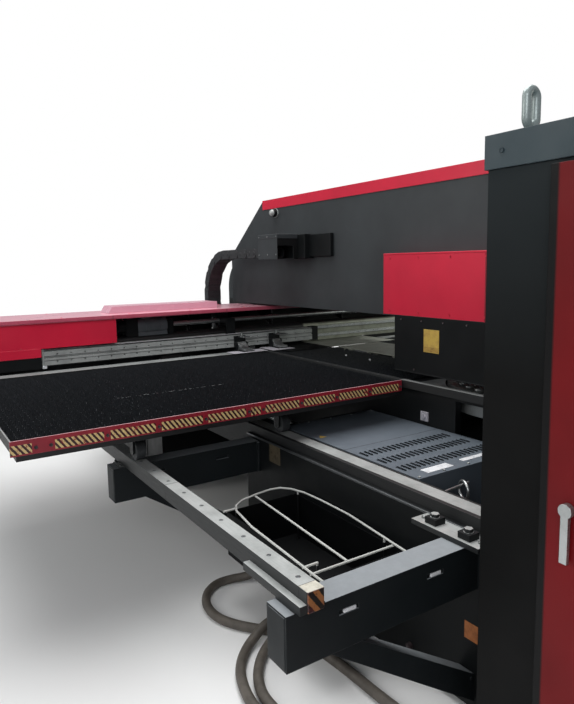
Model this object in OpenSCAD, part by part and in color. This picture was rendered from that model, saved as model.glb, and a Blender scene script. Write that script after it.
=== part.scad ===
// Turret punch press with a bridge frame, a moving carriage and brush side tables.
// X runs along the carriage, Y runs from the column to the front leg, Z is up. Millimetres.

/* [Machine] */
// Width over the two side tables
machine_w = 5000; // [4700:20:5400]
// Depth from the back of the column to the front of the base
machine_d = 4900; // [4860:20:5100]
// Height of the sheet line, at the tips of the brushes
sheet_z = 925; // [915:1:935]
// Height of the base above the floor
foot_h = 30; // [20:1:40]

/* [Bridge frame] */
// Width of the upper frame and the column
frame_w = 940; // [900:10:980]
// Width of the lower frame
lower_frame_w = 1060; // [1050:2:1076]
// Distance from the column's front to the front of the base
front_reach = 3850; // [3830:5:3870]
// Height of the upper frame's underside
bridge_z = 1250; // [1246:1:1270]
// Height of the top at the turret's centre line
top_z = 2002; // [1960:2:2040]
// Fall of the top for each metre towards the nose
top_fall = 2; // [0:1:40]
// Distance from the column to the nose's upper corner
nose_top_d = 2760; // [2700:10:2800]
// Distance from the column to the nose's lower corner
nose_low_d = 3200; // [3160:10:3220]
// Height of the nose's lower corner
nose_z = 1662; // [1655:1:1680]
// Width of the front leg
leg_w = 440; // [360:10:520]
// Depth of the front leg
leg_d = 450; // [400:10:480]
// Outer radius of the front leg's top
leg_round = 240; // [150:10:260]
// Height of the red cap's skirt
cap_skirt = 62; // [50:2:90]
// Height of the lower frame under the table
low_beam_z = 640; // [600:5:660]

/* [Turret] */
// Radius of both turret discs
turret_r = 500; // [485:1:505]
// Distance from the column to the turret's axis
turret_d = 730; // [710:5:760]
// Thickness of the upper disc
upper_disc_h = 140; // [120:2:150]
// Thickness of the lower disc
lower_disc_h = 115; // [100:1:120]
// Gap between the sheet line and the upper disc
sheet_gap = 60; // [50:1:66]
// Radius of the outer ring of stations
ring_a_r = 432; // [425:1:440]
// Radius of the middle ring of stations
ring_b_r = 345; // [338:1:350]
// Radius of the inner ring of stations
ring_c_r = 245; // [235:1:255]
// Radius of an outer station
station_a_r = 24; // [20:1:27]
// Radius of a middle station
station_b_r = 30; // [26:1:34]
// Radius of an inner station
station_c_r = 42; // [36:1:46]
// Radius of the turret shafts
shaft_r = 70; // [60:1:80]
// Stroke of the ram
ram_stroke = 37; // [20:1:40]
// Radius of the ram
ram_r = 45; // [38:1:50]

/* [Turret covers] */
// Width over the turret covers
cover_w = 1130; // [1120:2:1150]
// Height of the black cover's lower edge above the sheet line
cover_gap = 45; // [40:1:55]
// Height of the joint between the black and the red cover
cover_joint_z = 1266; // [1262:1:1280]
// Height of the red cover
red_cover_h = 324; // [300:4:350]
// Thickness of the cover sheets
sheet_t = 4; // [3:0.5:5]

/* [Carriage] */
// Travel of the carriage
y_travel = 1270; // [1200:10:1280]
// Distance from the turret's axis to the cross slide's front, carriage out
slide_out_d = 2020; // [2010:5:2030]
// Length of the carriage beam
beam_l = 4800; // [4700:10:4840]
// Depth of the carriage beam
beam_d = 140; // [120:5:144]
// Height of the carriage beam
beam_h = 145; // [140:1:150]
// Height of the beam's underside above the sheet line
beam_gap = 6; // [4:1:10]
// Height of the roof's top above the sheet line
roof_rise = 312; // [300:1:314]
// Depth of the roof
roof_d = 470; // [440:5:480]
// Depth of the cross slide
slide_d = 70; // [60:1:72]
// Length of the cross slide
slide_l = 2000; // [1900:10:2040]
// Height of the cross slide
slide_h = 96; // [90:1:98]
// Height of the cross slide's underside above the sheet line
slide_gap = 28; // [26:1:32]
// Rest place of the cross slide's middle, from the machine's middle
slide_rest_x = -1050; // [-1060:10:-1000]
// Length of the red end cover
end_cover_l = 830; // [800:10:860]

/* [Tables] */
// Length of the bristles
bristle_h = 26; // [20:1:28]
// Pitch of the brush rows
brush_pitch = 40; // [34:1:50]
// Width of a brush row
brush_w = 30; // [24:1:32]
// Width of the centre table
centre_w = 1148; // [1140:2:1156]
// Clearance between the centre table and a side table
table_gap = 6; // [4:1:10]
// Distance from the turret's axis to the side tables' front, carriage out
table_front_d = 470; // [460:5:480]
// Depth of a side table
table_d = 1510; // [1480:5:1515]
// Width of the bare strip at a side table's rear
strip_w = 100; // [80:2:120]
// Height of the side tables' front rail
front_rail_h = 58; // [46:1:64]
// Thickness of a table plate
plate_t = 10; // [8:1:12]
// Height of a side table's frame bars
table_bar_h = 40; // [36:1:44]
// Width of the work chute's flap
flap_w = 400; // [360:5:420]
// Length of the work chute's flap
flap_l = 1150; // [1100:5:1180]

/* [Base] */
// Width over the rear base
rear_base_w = 2540; // [2520:4:2560]
// Width over the front base
front_base_w = 2660; // [2640:4:2700]
// Length of the rear base
rear_base_l = 1680; // [1660:5:1690]
// Length of the front base
front_base_l = 1120; // [1080:5:1130]
// Height of the base's top
base_z = 655; // [650:1:662]
// Width of a base side wall
base_wall = 125; // [120:1:130]
// Height of the pit floor
pit_z = 420; // [380:5:440]
// Height of the Y rails above the base
rail_h = 45; // [40:1:48]
// Width of the Y rails
rail_w = 100; // [90:1:104]
// Length of the louvred cover
louvre_cover_l = 980; // [960:5:990]
// Distance from the louvred cover's front to the turret's axis
louvre_cover_d = 220; // [210:5:230]
// Number of slots in a louvre row
slots = 20; // [14:1:22]
// Number of louvre rows
slot_rows = 3; // [2:1:3]

/* [Outriggers] */
// Distance from the machine's middle to a support rail's outer side
support_rail_x = 1980; // [1960:5:2000]
// Width of a support rail
support_rail_w = 55; // [50:1:60]
// Length of a support rail
support_rail_l = 1870; // [1840:5:1900]
// Height of a support rail
support_rail_h = 60; // [55:1:64]
// Length of an outrigger beam
outrigger_l = 760; // [750:5:790]
// Height of an outrigger beam
outrigger_h = 160; // [140:2:170]
// Width of an outrigger beam
outrigger_w = 95; // [80:1:100]
// Radius of the table rollers
roller_r = 45; // [42:1:48]
// Diameter of the tray's white rods
rod_d = 9; // [7:0.5:11]

/* [Cabinet] */
// Depth of the cabinet, across the machine
cabinet_w = 560; // [500:10:600]
// Width of the cabinet, along the machine
cabinet_l = 850; // [800:10:860]
// Height of the cabinet's top
cabinet_h = 1840; // [1780:10:1900]
// Height of the cabinet's cap
cap_h = 80; // [60:2:100]
// Overhang of the cap
cap_over = 7; // [3:1:26]
// Width of the cabinet's door
door_w = 640; // [600:10:650]
// Thickness of the door
door_t = 26; // [20:1:30]
// Distance from the machine's middle to the cabinet's outer side
cabinet_x = 1590; // [1570:5:1620]

/* [Cable chain] */
// Width of the chain
chain_w = 112; // [104:1:114]
// Height of a link
link_h = 64; // [58:1:64]
// Bend radius on the line of the link pins
chain_r = 309; // [306:1:312]
// Number of links in the bend
bend_links = 15; // [13:2:17]
// Number of links in the upper run
run_links = 10; // [9:1:11]
// Diameter of the conduits on the floor
conduit_d = 40; // [34:1:44]

/* [Hidden] */
$fn = 48;
// Clearances: running fit, fixed fit, moving parts that pass each other
run_fit = 0.3;
fixed_fit = 0.15;
pass_fit = 6;

// Places along Y
back_y = -machine_d / 2;
front_y = machine_d / 2;
column_y = front_y - front_reach;
turret_y = column_y + turret_d;
slide_y = turret_y + slide_out_d;
guide_t = 20;
beam_y = slide_y + slide_d + guide_t;
beam_back_y = beam_y + beam_d;
roof_y = slide_y - 10;
table_y = turret_y + table_front_d;
table_back_y = table_y + table_d;
leg_y = front_y - 50 - leg_d;
rear_base_y = column_y - 30;
rear_base_end = rear_base_y + rear_base_l;
front_base_y = front_y - front_base_l;

// Heights
plate_z = sheet_z - 4 - bristle_h;
plate_low_z = plate_z - plate_t;
rail_z = base_z + rail_h;
beam_z = sheet_z + beam_gap;
beam_top = beam_z + beam_h;
slide_z = sheet_z + slide_gap;
slide_top = slide_z + slide_h;
roof_top = sheet_z + roof_rise;
roof_low = roof_top - 6;
black_cover_z = sheet_z + cover_gap;

// Places along X
side_x = machine_w / 2;
side_table_x = centre_w / 2 + table_gap;
y_rail_x = rear_base_w / 2 - 20 - rail_w;
lower_x = lower_frame_w / 2;

// Turret heights: lower disc just under the sheet line, upper disc over the gap
die_rise = 7;
lower_disc_z = sheet_z - 10 - lower_disc_h;
upper_disc_z = sheet_z + sheet_gap;
upper_disc_top = upper_disc_z + upper_disc_h;
punch_head_h = 38;
punch_y = turret_y + ring_a_r;
turret_pit_z = lower_disc_z - 190;
cover_front_y = turret_y + 536;
ram_low_z = upper_disc_top + punch_head_h + ram_stroke + 5;

// Y screw and motor in the left base
screw_x = -870;
screw_z = 600;
screw_r = 20;
nut_y = beam_y + 60;
louvre_y = turret_y - louvre_cover_d;
louvre_end = louvre_y + louvre_cover_l;
louvre_x0 = rear_base_w / 2 - base_wall - 5;

// X screw and motor on the beam
x_screw_z = beam_top + 64;
x_screw_y = beam_y + 60;
x_screw_r = 16;
x_motor_x = -1420;
x_motor_l = 210;

// Table rollers and their axle line
roller_z = rail_z + roller_r + run_fit;
roller_y = table_y + 210;
roller_wide = 40;
axle_r = 10;
inner_roller_x = y_rail_x + rail_w / 2;
outer_roller_x = support_rail_x - support_rail_w / 2;

// Cable chain: bend centre, and the hood that its upper run comes out of
chain_x = -frame_w / 2 - 162;
chain_y = beam_back_y + 10;
link_pitch = 2 * chain_r * sin(90 / bend_links);
chain_low_z = beam_z + 71;
chain_z = chain_low_z + chain_r;
hood_x = chain_x - chain_w / 2 - 8;
hood_l = 240;
hood_y = chain_y - link_pitch * run_links - 126;

// Front of the support rail, outrigger beams and the tray between them
support_y = column_y + 80;
near_beam_y = support_y + 25;
far_beam_y = rear_base_end - 120;
outrigger_z = base_z - 20;
tray_y0 = near_beam_y + 360;
tray_y1 = tray_y0 + 720;
tray_x0 = rear_base_w / 2;
tray_x1 = tray_x0 + 370;
rod_z = outrigger_z - 135;

// Cabinet
cabinet_y1 = column_y - 150;
cabinet_y0 = cabinet_y1 - cabinet_l;
cabinet_body_top = cabinet_h - cap_h;
door_y0 = cabinet_y0 + 25;
door_z0 = foot_h + 70;
door_z1 = cabinet_body_top - 12;
hinge_r = 8;

// Work chute's flap in the centre table, and the table's edge strips
flap_x0 = -15;
flap_y0 = turret_y + turret_r + 80;
edge_w = 34;
centre_back_y = table_back_y - 100;
flap_pin_r = 8;
flap_pin_z = plate_low_z - 14;

// Anchor lugs on the base
lug_w = 80;
lug_h = 30;
lug_bore = 26;
front_lug_d = 700;

// Ends of the rails and of the screw's channel, nut on the slide, depth of the tray
rail_end_d = 520;
channel_w = 190;
channel_l = 640;
slide_nut_d = 300;
tray_h = 240;

// Stations: [ring radius, station radius, count, angle of the first one]
stations = [[ring_a_r, station_a_r, 32, 0], [ring_b_r, station_b_r, 18, 5],
    [ring_c_r, station_c_r, 8, 0]];

// Holes in the cross slide, workholders and the pins of their jaws
hole_pitch = 84;
holder_xs = [-700, -405];
holder_w = 90;
jaw_pivot_y = slide_y - 30;
jaw_pivot_z = slide_z + 26;
jaw_pin_r = 7;

charcoal = "#3b3e40";
nearBlack = "#1c1d1f";
red = "#b3263c";
steel = "#9a9c9a";
bright = "#c4c6c6";

// Height of the sloping top at a place along Y
function top_at(y) = top_z - (y - turret_y) * top_fall / 1000;

// A block between two corners
module block(a, b) {
    translate(a)
        cube(b - a);
}

// The same shape on both sides of the machine
module both() {
    children();
    mirror([1, 0, 0])
        children();
}

// A side profile drawn as [y, z], spread evenly about the machine's middle
module profile_x(w) {
    translate([-w / 2, 0, 0])
        rotate([90, 0, 90])
            linear_extrude(height = w)
                children();
}

// A rod between two points
module rod(a, b, d) {
    v = b - a;
    l = norm(v);
    translate(a)
        rotate([0, acos(v[2] / l), atan2(v[1], v[0])])
            cylinder(h = l, d = d, $fn = 20);
}

// Bridge frame

module upper_frame_profile() {
    nose_top_y = column_y + nose_top_d;
    nose_low_y = column_y + nose_low_d;
    polygon([[back_y, foot_h], [back_y, top_at(back_y)], [nose_top_y, top_at(nose_top_y)],
        [nose_low_y, nose_z], [nose_low_y, nose_z - 60], [nose_low_y + 60, nose_z - 80],
        [nose_low_y + 60, bridge_z], [column_y, bridge_z], [column_y, foot_h]]);
}

module front_leg_profile() {
    leg_top_z = nose_z - 80;
    leg_front_y = leg_y + leg_d;
    difference() {
        union() {
            translate([column_y + nose_low_d + 60, bridge_z])
                square([leg_front_y - leg_round - column_y - nose_low_d - 60, leg_top_z - bridge_z]);
            translate([leg_y, low_beam_z])
                square([leg_d, leg_top_z - leg_round - low_beam_z]);
            translate([leg_front_y - leg_round, leg_top_z - leg_round])
                intersection() {
                    circle(r = leg_round, $fn = 96);
                    square(leg_round);
                }
            translate([leg_y, bridge_z])
                square([leg_d - leg_round, leg_top_z - bridge_z]);
        }
        translate([leg_y - 200, bridge_z - 200])
            square([200, 200]);
    }
}

module bridge_frame() {
    color(charcoal)
        difference() {
            union() {
                profile_x(frame_w)
                    upper_frame_profile();
                profile_x(leg_w)
                    front_leg_profile();
                block([-lower_x, column_y, foot_h], [lower_x, front_y, low_beam_z]);
                block([-lower_x, column_y, low_beam_z],
                    [lower_x, turret_y + turret_r + 40, plate_low_z]);
                // Side walls that carry the centre table
                both()
                    block([-lower_x, turret_y + turret_r + 39, low_beam_z - 1],
                        [-lower_x + 24, centre_back_y, plate_low_z]);
            }
            // Pit of the lower turret, and its two tool windows
            translate([0, turret_y, turret_pit_z])
                cylinder(h = plate_low_z - turret_pit_z + 1, r = turret_r + 10, $fn = 128);
            translate([-lower_x - 1, turret_y - 260, turret_pit_z + 10])
                cube([lower_frame_w + 2, 400, plate_low_z - turret_pit_z - 35]);
            // Bore of the ram's cylinder
            translate([0, punch_y, bridge_z - 1])
                cylinder(h = 260, r = 110, $fn = 96);
            // Seat of the upper turret's shaft
            translate([0, turret_y, bridge_z - 1])
                cylinder(h = 101, r = shaft_r + fixed_fit, $fn = 96);
        }
}

module top_cap() {
    nose_top_y = column_y + nose_top_d;
    color(red)
        difference() {
            profile_x(frame_w + 2 * sheet_t)
                polygon([[back_y, top_at(back_y) - cap_skirt], [back_y, top_at(back_y) + sheet_t],
                    [nose_top_y, top_at(nose_top_y) + sheet_t],
                    [nose_top_y, top_at(nose_top_y) - cap_skirt]]);
            profile_x(frame_w)
                polygon([[back_y - 1, top_at(back_y) - cap_skirt - 1],
                    [back_y - 1, top_at(back_y - 1) + fixed_fit],
                    [nose_top_y + 1, top_at(nose_top_y + 1) + fixed_fit],
                    [nose_top_y + 1, top_at(nose_top_y) - cap_skirt - 1]]);
        }
}

// Base

module anchor_lug(x, y) {
    translate([x, y, foot_h])
        difference() {
            union() {
                translate([-lug_w, -lug_w / 2, 0])
                    cube([lug_w, lug_w, lug_h]);
                translate([-lug_w, 0, 0])
                    cylinder(h = lug_h, d = lug_w);
            }
            translate([-lug_w, 0, -1])
                cylinder(h = lug_h + 2, d = lug_bore);
        }
}

module rear_base_side() {
    outer = rear_base_w / 2;
    difference() {
        block([-outer, rear_base_y, foot_h], [-lower_x, rear_base_end, base_z]);
        // Pit between the side wall and the lower frame
        block([-outer + base_wall, rear_base_y + 30, pit_z],
            [-lower_x + 1, rear_base_end - 30, base_z + 1]);
        // Notch for the Y screw
        block([screw_x - 95, rear_base_end - 31, screw_z - 80],
            [screw_x + 95, rear_base_end + 1, base_z + 1]);
    }
    anchor_lug(-outer, rear_base_y + 45);
}

module rear_base() {
    color(nearBlack)
        both()
            rear_base_side();
}

module front_base() {
    outer = front_base_w / 2;
    color(nearBlack)
        both() {
            difference() {
                block([-outer, front_base_y, foot_h], [-lower_x, front_y, base_z]);
                // Channel of the Y screw
                block([screw_x - channel_w / 2, front_base_y - 1, screw_z - 80],
                    [screw_x + channel_w / 2, front_base_y + channel_l, base_z + 1]);
            }
            anchor_lug(-outer, front_base_y + front_lug_d);
        }
}

module y_rails() {
    start_y = rear_base_y;
    end_y = front_base_y + rail_end_d;
    color(steel)
        both()
            union() {
                block([-y_rail_x - rail_w, start_y, base_z], [-y_rail_x, end_y, rail_z]);
                block([-y_rail_x - rail_w + 10, rear_base_end, base_z - 110],
                    [-y_rail_x - 10, front_base_y, base_z]);
            }
}

// One louvred cover: a sheet box on the pit floor, its slots along Y
module louvred_cover() {
    cover_x1 = lower_x + 4;
    cover_w2 = louvre_x0 - cover_x1;
    slot_l = 62;
    slot_w = 9;
    row_pitch = 118;
    difference() {
        block([-louvre_x0, louvre_y, pit_z], [-cover_x1, louvre_end, rail_z]);
        block([-louvre_x0 + sheet_t, louvre_y + sheet_t, pit_z - 1],
            [-cover_x1 - sheet_t, louvre_end - sheet_t, rail_z - sheet_t]);
        for (row = [0 : slot_rows - 1])
            for (i = [0 : slots - 1])
                translate([-louvre_x0 + 26 + i * (cover_w2 - 86) / (slots - 1),
                        louvre_y + 98 + row * row_pitch, rail_z - sheet_t - 1])
                    translate([-slot_w / 2, 0, 0])
                        cube([slot_w, slot_l, sheet_t + 2]);
        // Opening for the screw in the rear skirt
        block([screw_x - 60, louvre_end - sheet_t - 1, pit_z - 1],
            [screw_x + 60, louvre_end + 1, screw_z + 60]);
    }
}

module louvred_covers() {
    color("#565d63")
        both()
            louvred_cover();
}

// A pull ring hanging on a bent rod in front of the left louvred cover
module pull_ring() {
    ring = [-louvre_x0 + 185, louvre_y - 62, rail_z - 66];
    bar_end = [ring[0] - 130, ring[1], ring[2] + 16];
    color(bright) {
        translate(ring)
            rotate([90, 0, 70])
                rotate_extrude($fn = 48)
                    translate([36, 0])
                        circle(d = 12, $fn = 20);
        rod([ring[0] + 28, ring[1], ring[2] + 26.5], bar_end, 10);
        rod([bar_end[0], bar_end[1] - 4, bar_end[2]], [bar_end[0], louvre_y, bar_end[2]], 10);
    }
}

// Outriggers and support rails

module outrigger(y) {
    inner = rear_base_w / 2;
    brace_w = 65;
    brace_y = y + (outrigger_w - brace_w) / 2;
    low_z = outrigger_z - outrigger_h;
    union() {
        difference() {
            block([-inner - outrigger_l, y, low_z], [-inner, y + outrigger_w, outrigger_z]);
            // Two slots in the front face
            for (x = [inner + 210, inner + 550])
                block([-x - 35, y - 1, outrigger_z - 56], [-x + 35, y + 12, outrigger_z - 40]);
        }
        translate([0, brace_y + brace_w, 0])
            rotate([90, 0, 0])
                linear_extrude(height = brace_w)
                    polygon([[-inner - outrigger_l + 140, low_z], [-inner - outrigger_l + 250, low_z],
                        [-inner, foot_h + 130], [-inner, foot_h + 30]]);
    }
}

module outriggers() {
    color(charcoal)
        both() {
            outrigger(near_beam_y);
            outrigger(far_beam_y);
        }
}

module support_rails() {
    x0 = -support_rail_x;
    end_y = support_y + support_rail_l;
    color(steel)
        both()
            union() {
                block([x0, support_y, rail_z - support_rail_h],
                    [x0 + support_rail_w, end_y, rail_z]);
                for (y = [near_beam_y, far_beam_y])
                    block([x0 - 22, y, outrigger_z],
                        [x0 + support_rail_w + 22, y + outrigger_w, rail_z - support_rail_h]);
                // Flange under the front end
                block([x0 - 22, support_y, rail_z - support_rail_h],
                    [x0 + 1, support_y + 300, rail_z - support_rail_h + 25]);
            }
}

module beam_clamps() {
    inner = rear_base_w / 2;
    y0 = near_beam_y - 55;
    color(steel)
        both() {
            block([-inner - 80, y0, outrigger_z], [-inner, y0 + 290, outrigger_z + 18]);
            for (i = [0, 1])
                translate([-inner - 42, y0 + 70 + i * 145, outrigger_z + 18]) {
                    translate([-24, -24, 0])
                        cube([48, 48, 22]);
                    translate([0, 0, 22])
                        cylinder(h = 12, d = 30, $fn = 6);
                }
        }
}

module scrap_tray() {
    floor_z = rod_z - tray_h;
    color(nearBlack)
        difference() {
            block([-tray_x1, tray_y0, floor_z], [-tray_x0, tray_y1, rod_z - 40]);
            block([-tray_x1 + 4, tray_y0 + 4, floor_z + 4], [-tray_x0 - 4, tray_y1 - 4, rod_z]);
        }
}

// Rods over the tray: a bent rim, cross rods under it and legs down to the tray's floor
module tray_rods() {
    y0 = near_beam_y + outrigger_w;
    x = -tray_x0;
    route = [[-72, 0], [-42, 290], [-12, 570], [-13, 760], [-22, 885], [-45, 960], [-80, 1000],
        [-130, 1010], [-220, 995], [-300, 972], [-350, 935], [-378, 880], [-405, 700], [-425, 240],
        [-430, 0]];
    rim = [for (p = route) [x + p[0], y0 + p[1], rod_z]];
    under = rod_z - rod_d - 0.1;
    floor_z = rod_z - tray_h + 4;
    leg_y0 = tray_y0 + 60;
    leg_y1 = tray_y1 - 60;
    color("#d8d8d4") {
        // Rim, in four lengths that meet at fine joints
        difference() {
            tube(rim, rod_d);
            block([x - 440, y0 + 800, rod_z - 20], [x + 10, y0 + 800.3, rod_z + 20]);
            block([x - 175.3, y0 + 900, rod_z - 20], [x - 175, y0 + 1050, rod_z + 20]);
        }
        rod([x - 424, y0 + 270, under], [x - 40, y0 + 270, under], rod_d);
        rod([x - 260, y0 + 274.8, under], [x - 215, y0 + 998, under], rod_d);
        // Arms from the outer legs out to the rim
        for (y = [leg_y0, leg_y1]) {
            rod([x - 352, y, under], [x - 418, y, under], rod_d);
            rod([x - 356, y, floor_z], [x - 356, y, under - rod_d / 2 - 0.1], rod_d);
        }
        rod([x - 38, leg_y0, floor_z], [x - 38, leg_y0, rod_z - rod_d / 2 - 0.1], rod_d);
        rod([x - 30, leg_y1, floor_z], [x - 30, leg_y1, rod_z - rod_d / 2 - 0.1], rod_d);
    }
}

// Turret covers

module red_turret_covers() {
    y1 = turret_y + 625;
    y0 = column_y + 5;
    top = cover_joint_z + red_cover_h;
    color(red)
        both()
            difference() {
                block([-cover_w / 2, y0, cover_joint_z], [-frame_w / 2, y1, top]);
                block([-cover_w / 2 + sheet_t, y0 + sheet_t, cover_joint_z + sheet_t],
                    [-frame_w / 2 + 1, y1 - sheet_t, top - sheet_t]);
            }
}

module black_turret_cover() {
    y1 = cover_front_y;
    y0 = column_y + 5;
    side = cover_w / 2;
    color(nearBlack)
        union() {
            both()
                union() {
                    block([-side, y0, black_cover_z], [-side + sheet_t, y1, cover_joint_z]);
                    block([-side, y0, cover_joint_z - sheet_t], [-frame_w / 2, y1, cover_joint_z]);
                }
            block([-side, y1 - sheet_t, black_cover_z], [side, y1, bridge_z]);
        }
}

// Ram and turrets

module ram_cylinder() {
    color(steel)
        difference() {
            union() {
                translate([0, punch_y, bridge_z])
                    cylinder(h = 250, r = 110 - fixed_fit, $fn = 96);
                intersection() {
                    translate([0, punch_y, bridge_z - 14])
                        cylinder(h = 14, r = 140, $fn = 96);
                    block([-141, punch_y - 141, bridge_z - 15],
                        [141, cover_front_y - sheet_t - 2, bridge_z + 1]);
                }
            }
            translate([0, punch_y, bridge_z - 15])
                cylinder(h = 240, r = ram_r + run_fit, $fn = 96);
        }
}

module ram() {
    color(bright)
        translate([0, punch_y, ram_low_z])
            cylinder(h = bridge_z + 170 - ram_low_z, r = ram_r, $fn = 96);
}

module turret_shafts() {
    color(steel)
        translate([0, turret_y, 0])
            union() {
                // Upper shaft, with the flange that carries the upper disc
                translate([0, 0, upper_disc_z - 14])
                    cylinder(h = bridge_z + 114 - upper_disc_z, r = shaft_r, $fn = 96);
                translate([0, 0, upper_disc_z - 14])
                    cylinder(h = 14 - run_fit, r = shaft_r + 40, $fn = 96);
                // Lower shaft with its thrust flange
                translate([0, 0, turret_pit_z])
                    cylinder(h = lower_disc_z + lower_disc_h - 10 - turret_pit_z, r = shaft_r, $fn = 96);
                translate([0, 0, turret_pit_z])
                    cylinder(h = lower_disc_z - turret_pit_z - run_fit, r = shaft_r + 60, $fn = 96);
            }
}

module at_stations() {
    for (s = stations)
        for (i = [0 : s[2] - 1])
            translate([0, turret_y, 0])
                rotate([0, 0, 90 + s[3] + i * 360 / s[2]])
                    translate([s[0], 0, 0]) {
                        $station_r = s[1];
                        children();
                    }
}

module upper_turret() {
    color(steel)
        difference() {
            union() {
                translate([0, turret_y, upper_disc_z])
                    cylinder(h = upper_disc_h, r = turret_r, $fn = 128);
                translate([0, turret_y, upper_disc_top])
                    cylinder(h = 40, r = shaft_r + 50, $fn = 96);
            }
            translate([0, turret_y, upper_disc_z - 1])
                cylinder(h = upper_disc_h + 60, r = shaft_r + run_fit, $fn = 96);
            // Groove of the drive chain round the rim
            translate([0, turret_y, upper_disc_z + upper_disc_h / 2 - 14])
                difference() {
                    cylinder(h = 28, r = turret_r + 1, $fn = 128);
                    translate([0, 0, -1])
                        cylinder(h = 30, r = turret_r - 9, $fn = 128);
                }
            at_stations()
                translate([0, 0, upper_disc_z - 1])
                    cylinder(h = upper_disc_h + 2, r = $station_r, $fn = 32);
        }
}

// One punch in its guide: head, body and stripper, turned about its axis
module punch_tool(r) {
    rotate_extrude($fn = 32)
        polygon([[0, upper_disc_z - 6], [r * 0.55, upper_disc_z - 6], [r * 0.7, upper_disc_z],
            [r - fixed_fit, upper_disc_z], [r - fixed_fit, upper_disc_top],
            [r + 3, upper_disc_top], [r + 3, upper_disc_top + 8],
            [r * 0.45, upper_disc_top + 8], [r * 0.45, upper_disc_top + punch_head_h - 10],
            [r * 0.8, upper_disc_top + punch_head_h - 10],
            [r * 0.8, upper_disc_top + punch_head_h], [0, upper_disc_top + punch_head_h]]);
}

module punch_tools() {
    color("#777a7c")
        at_stations()
            punch_tool($station_r);
}

module lower_turret() {
    color(steel)
        difference() {
            union() {
                translate([0, turret_y, lower_disc_z])
                    cylinder(h = lower_disc_h, r = turret_r, $fn = 128);
                at_stations()
                    translate([0, 0, lower_disc_z + lower_disc_h - 1])
                        cylinder(h = 1 + die_rise, r = $station_r + 2, $fn = 32);
            }
            translate([0, turret_y, lower_disc_z - 1])
                cylinder(h = lower_disc_h + 2, r = shaft_r + run_fit, $fn = 96);
            at_stations()
                translate([0, 0, lower_disc_z - 1])
                    cylinder(h = lower_disc_h + die_rise + 2, r = $station_r * 0.5, $fn = 24);
        }
}

// Tables

// Rows of bristles on a thin back, running along X, drawn as one comb profile
module brush_field(x0, x1, y0, y1) {
    rows = floor((y1 - y0 - brush_w) / brush_pitch) + 1;
    first = (y1 - y0 - (rows - 1) * brush_pitch - brush_w) / 2;
    translate([x0, y0, plate_z])
        rotate([90, 0, 90])
            linear_extrude(height = x1 - x0)
                union() {
                    square([y1 - y0, 4]);
                    for (i = [0 : rows - 1])
                        translate([first + i * brush_pitch, 0])
                            square([brush_w, sheet_z - plate_z]);
                }
}

module centre_table() {
    edge_x = centre_w / 2;
    color(bright)
        difference() {
            union() {
                block([-edge_x, column_y + 5, plate_low_z], [edge_x, centre_back_y, plate_z]);
                both()
                    block([-edge_x, column_y + 5, plate_z - 1],
                        [-edge_x + edge_w, centre_back_y, sheet_z]);
            }
            translate([0, turret_y, plate_low_z - 1])
                cylinder(h = plate_t + 2, r = turret_r + 10, $fn = 128);
            // Opening of the work chute
            block([flap_x0 - 8, flap_y0 - 8, plate_low_z - 1],
                [flap_x0 + flap_w + 8, flap_y0 + flap_l + 8, plate_z + 1]);
        }
    // Pins and ears that the flap's two arms hang on
    color(steel)
        for (y = [flap_y0 + 120, flap_y0 + flap_l - 160]) {
            translate([flap_x0 + 14, y - 22, flap_pin_z])
                rotate([-90, 0, 0])
                    cylinder(h = 84, r = flap_pin_r);
            for (side = [-22, 50])
                block([flap_x0 - 20, y + side, flap_pin_z - 14],
                    [flap_x0 + 28, y + side + 12, plate_low_z]);
        }
}

module centre_brushes() {
    in_x = centre_w / 2 - edge_w;
    color("#101214")
        union() {
            brush_field(-in_x, flap_x0 - 20, turret_y + turret_r + 30, centre_back_y);
            brush_field(flap_x0 + flap_w + 20, in_x, turret_y + turret_r + 30, centre_back_y);
        }
}

// Bare flap of the work chute, hinged along its left edge

module chute_flap() {
    x1 = flap_x0 + flap_w;
    color(bright)
        union() {
            block([flap_x0, flap_y0, sheet_z - 6], [x1, flap_y0 + flap_l, sheet_z]);
            // Stiffening ribs under the plate
            for (i = [0 : 4])
                block([flap_x0 + 20, flap_y0 + 40 + i * (flap_l - 100) / 4, sheet_z - 34],
                    [x1 - 20, flap_y0 + 60 + i * (flap_l - 100) / 4, sheet_z - 5]);
            // Two arms down to the hinge pins
            for (y = [flap_y0 + 120, flap_y0 + flap_l - 160])
                difference() {
                    union() {
                        block([flap_x0 + 2, y, flap_pin_z], [flap_x0 + 26, y + 40, sheet_z - 5]);
                        translate([flap_x0 + 14, y, flap_pin_z])
                            rotate([-90, 0, 0])
                                cylinder(h = 40, r = 16);
                    }
                    translate([flap_x0 + 14, y - 1, flap_pin_z])
                        rotate([-90, 0, 0])
                            cylinder(h = 42, r = flap_pin_r + run_fit);
                }
        }
}

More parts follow.
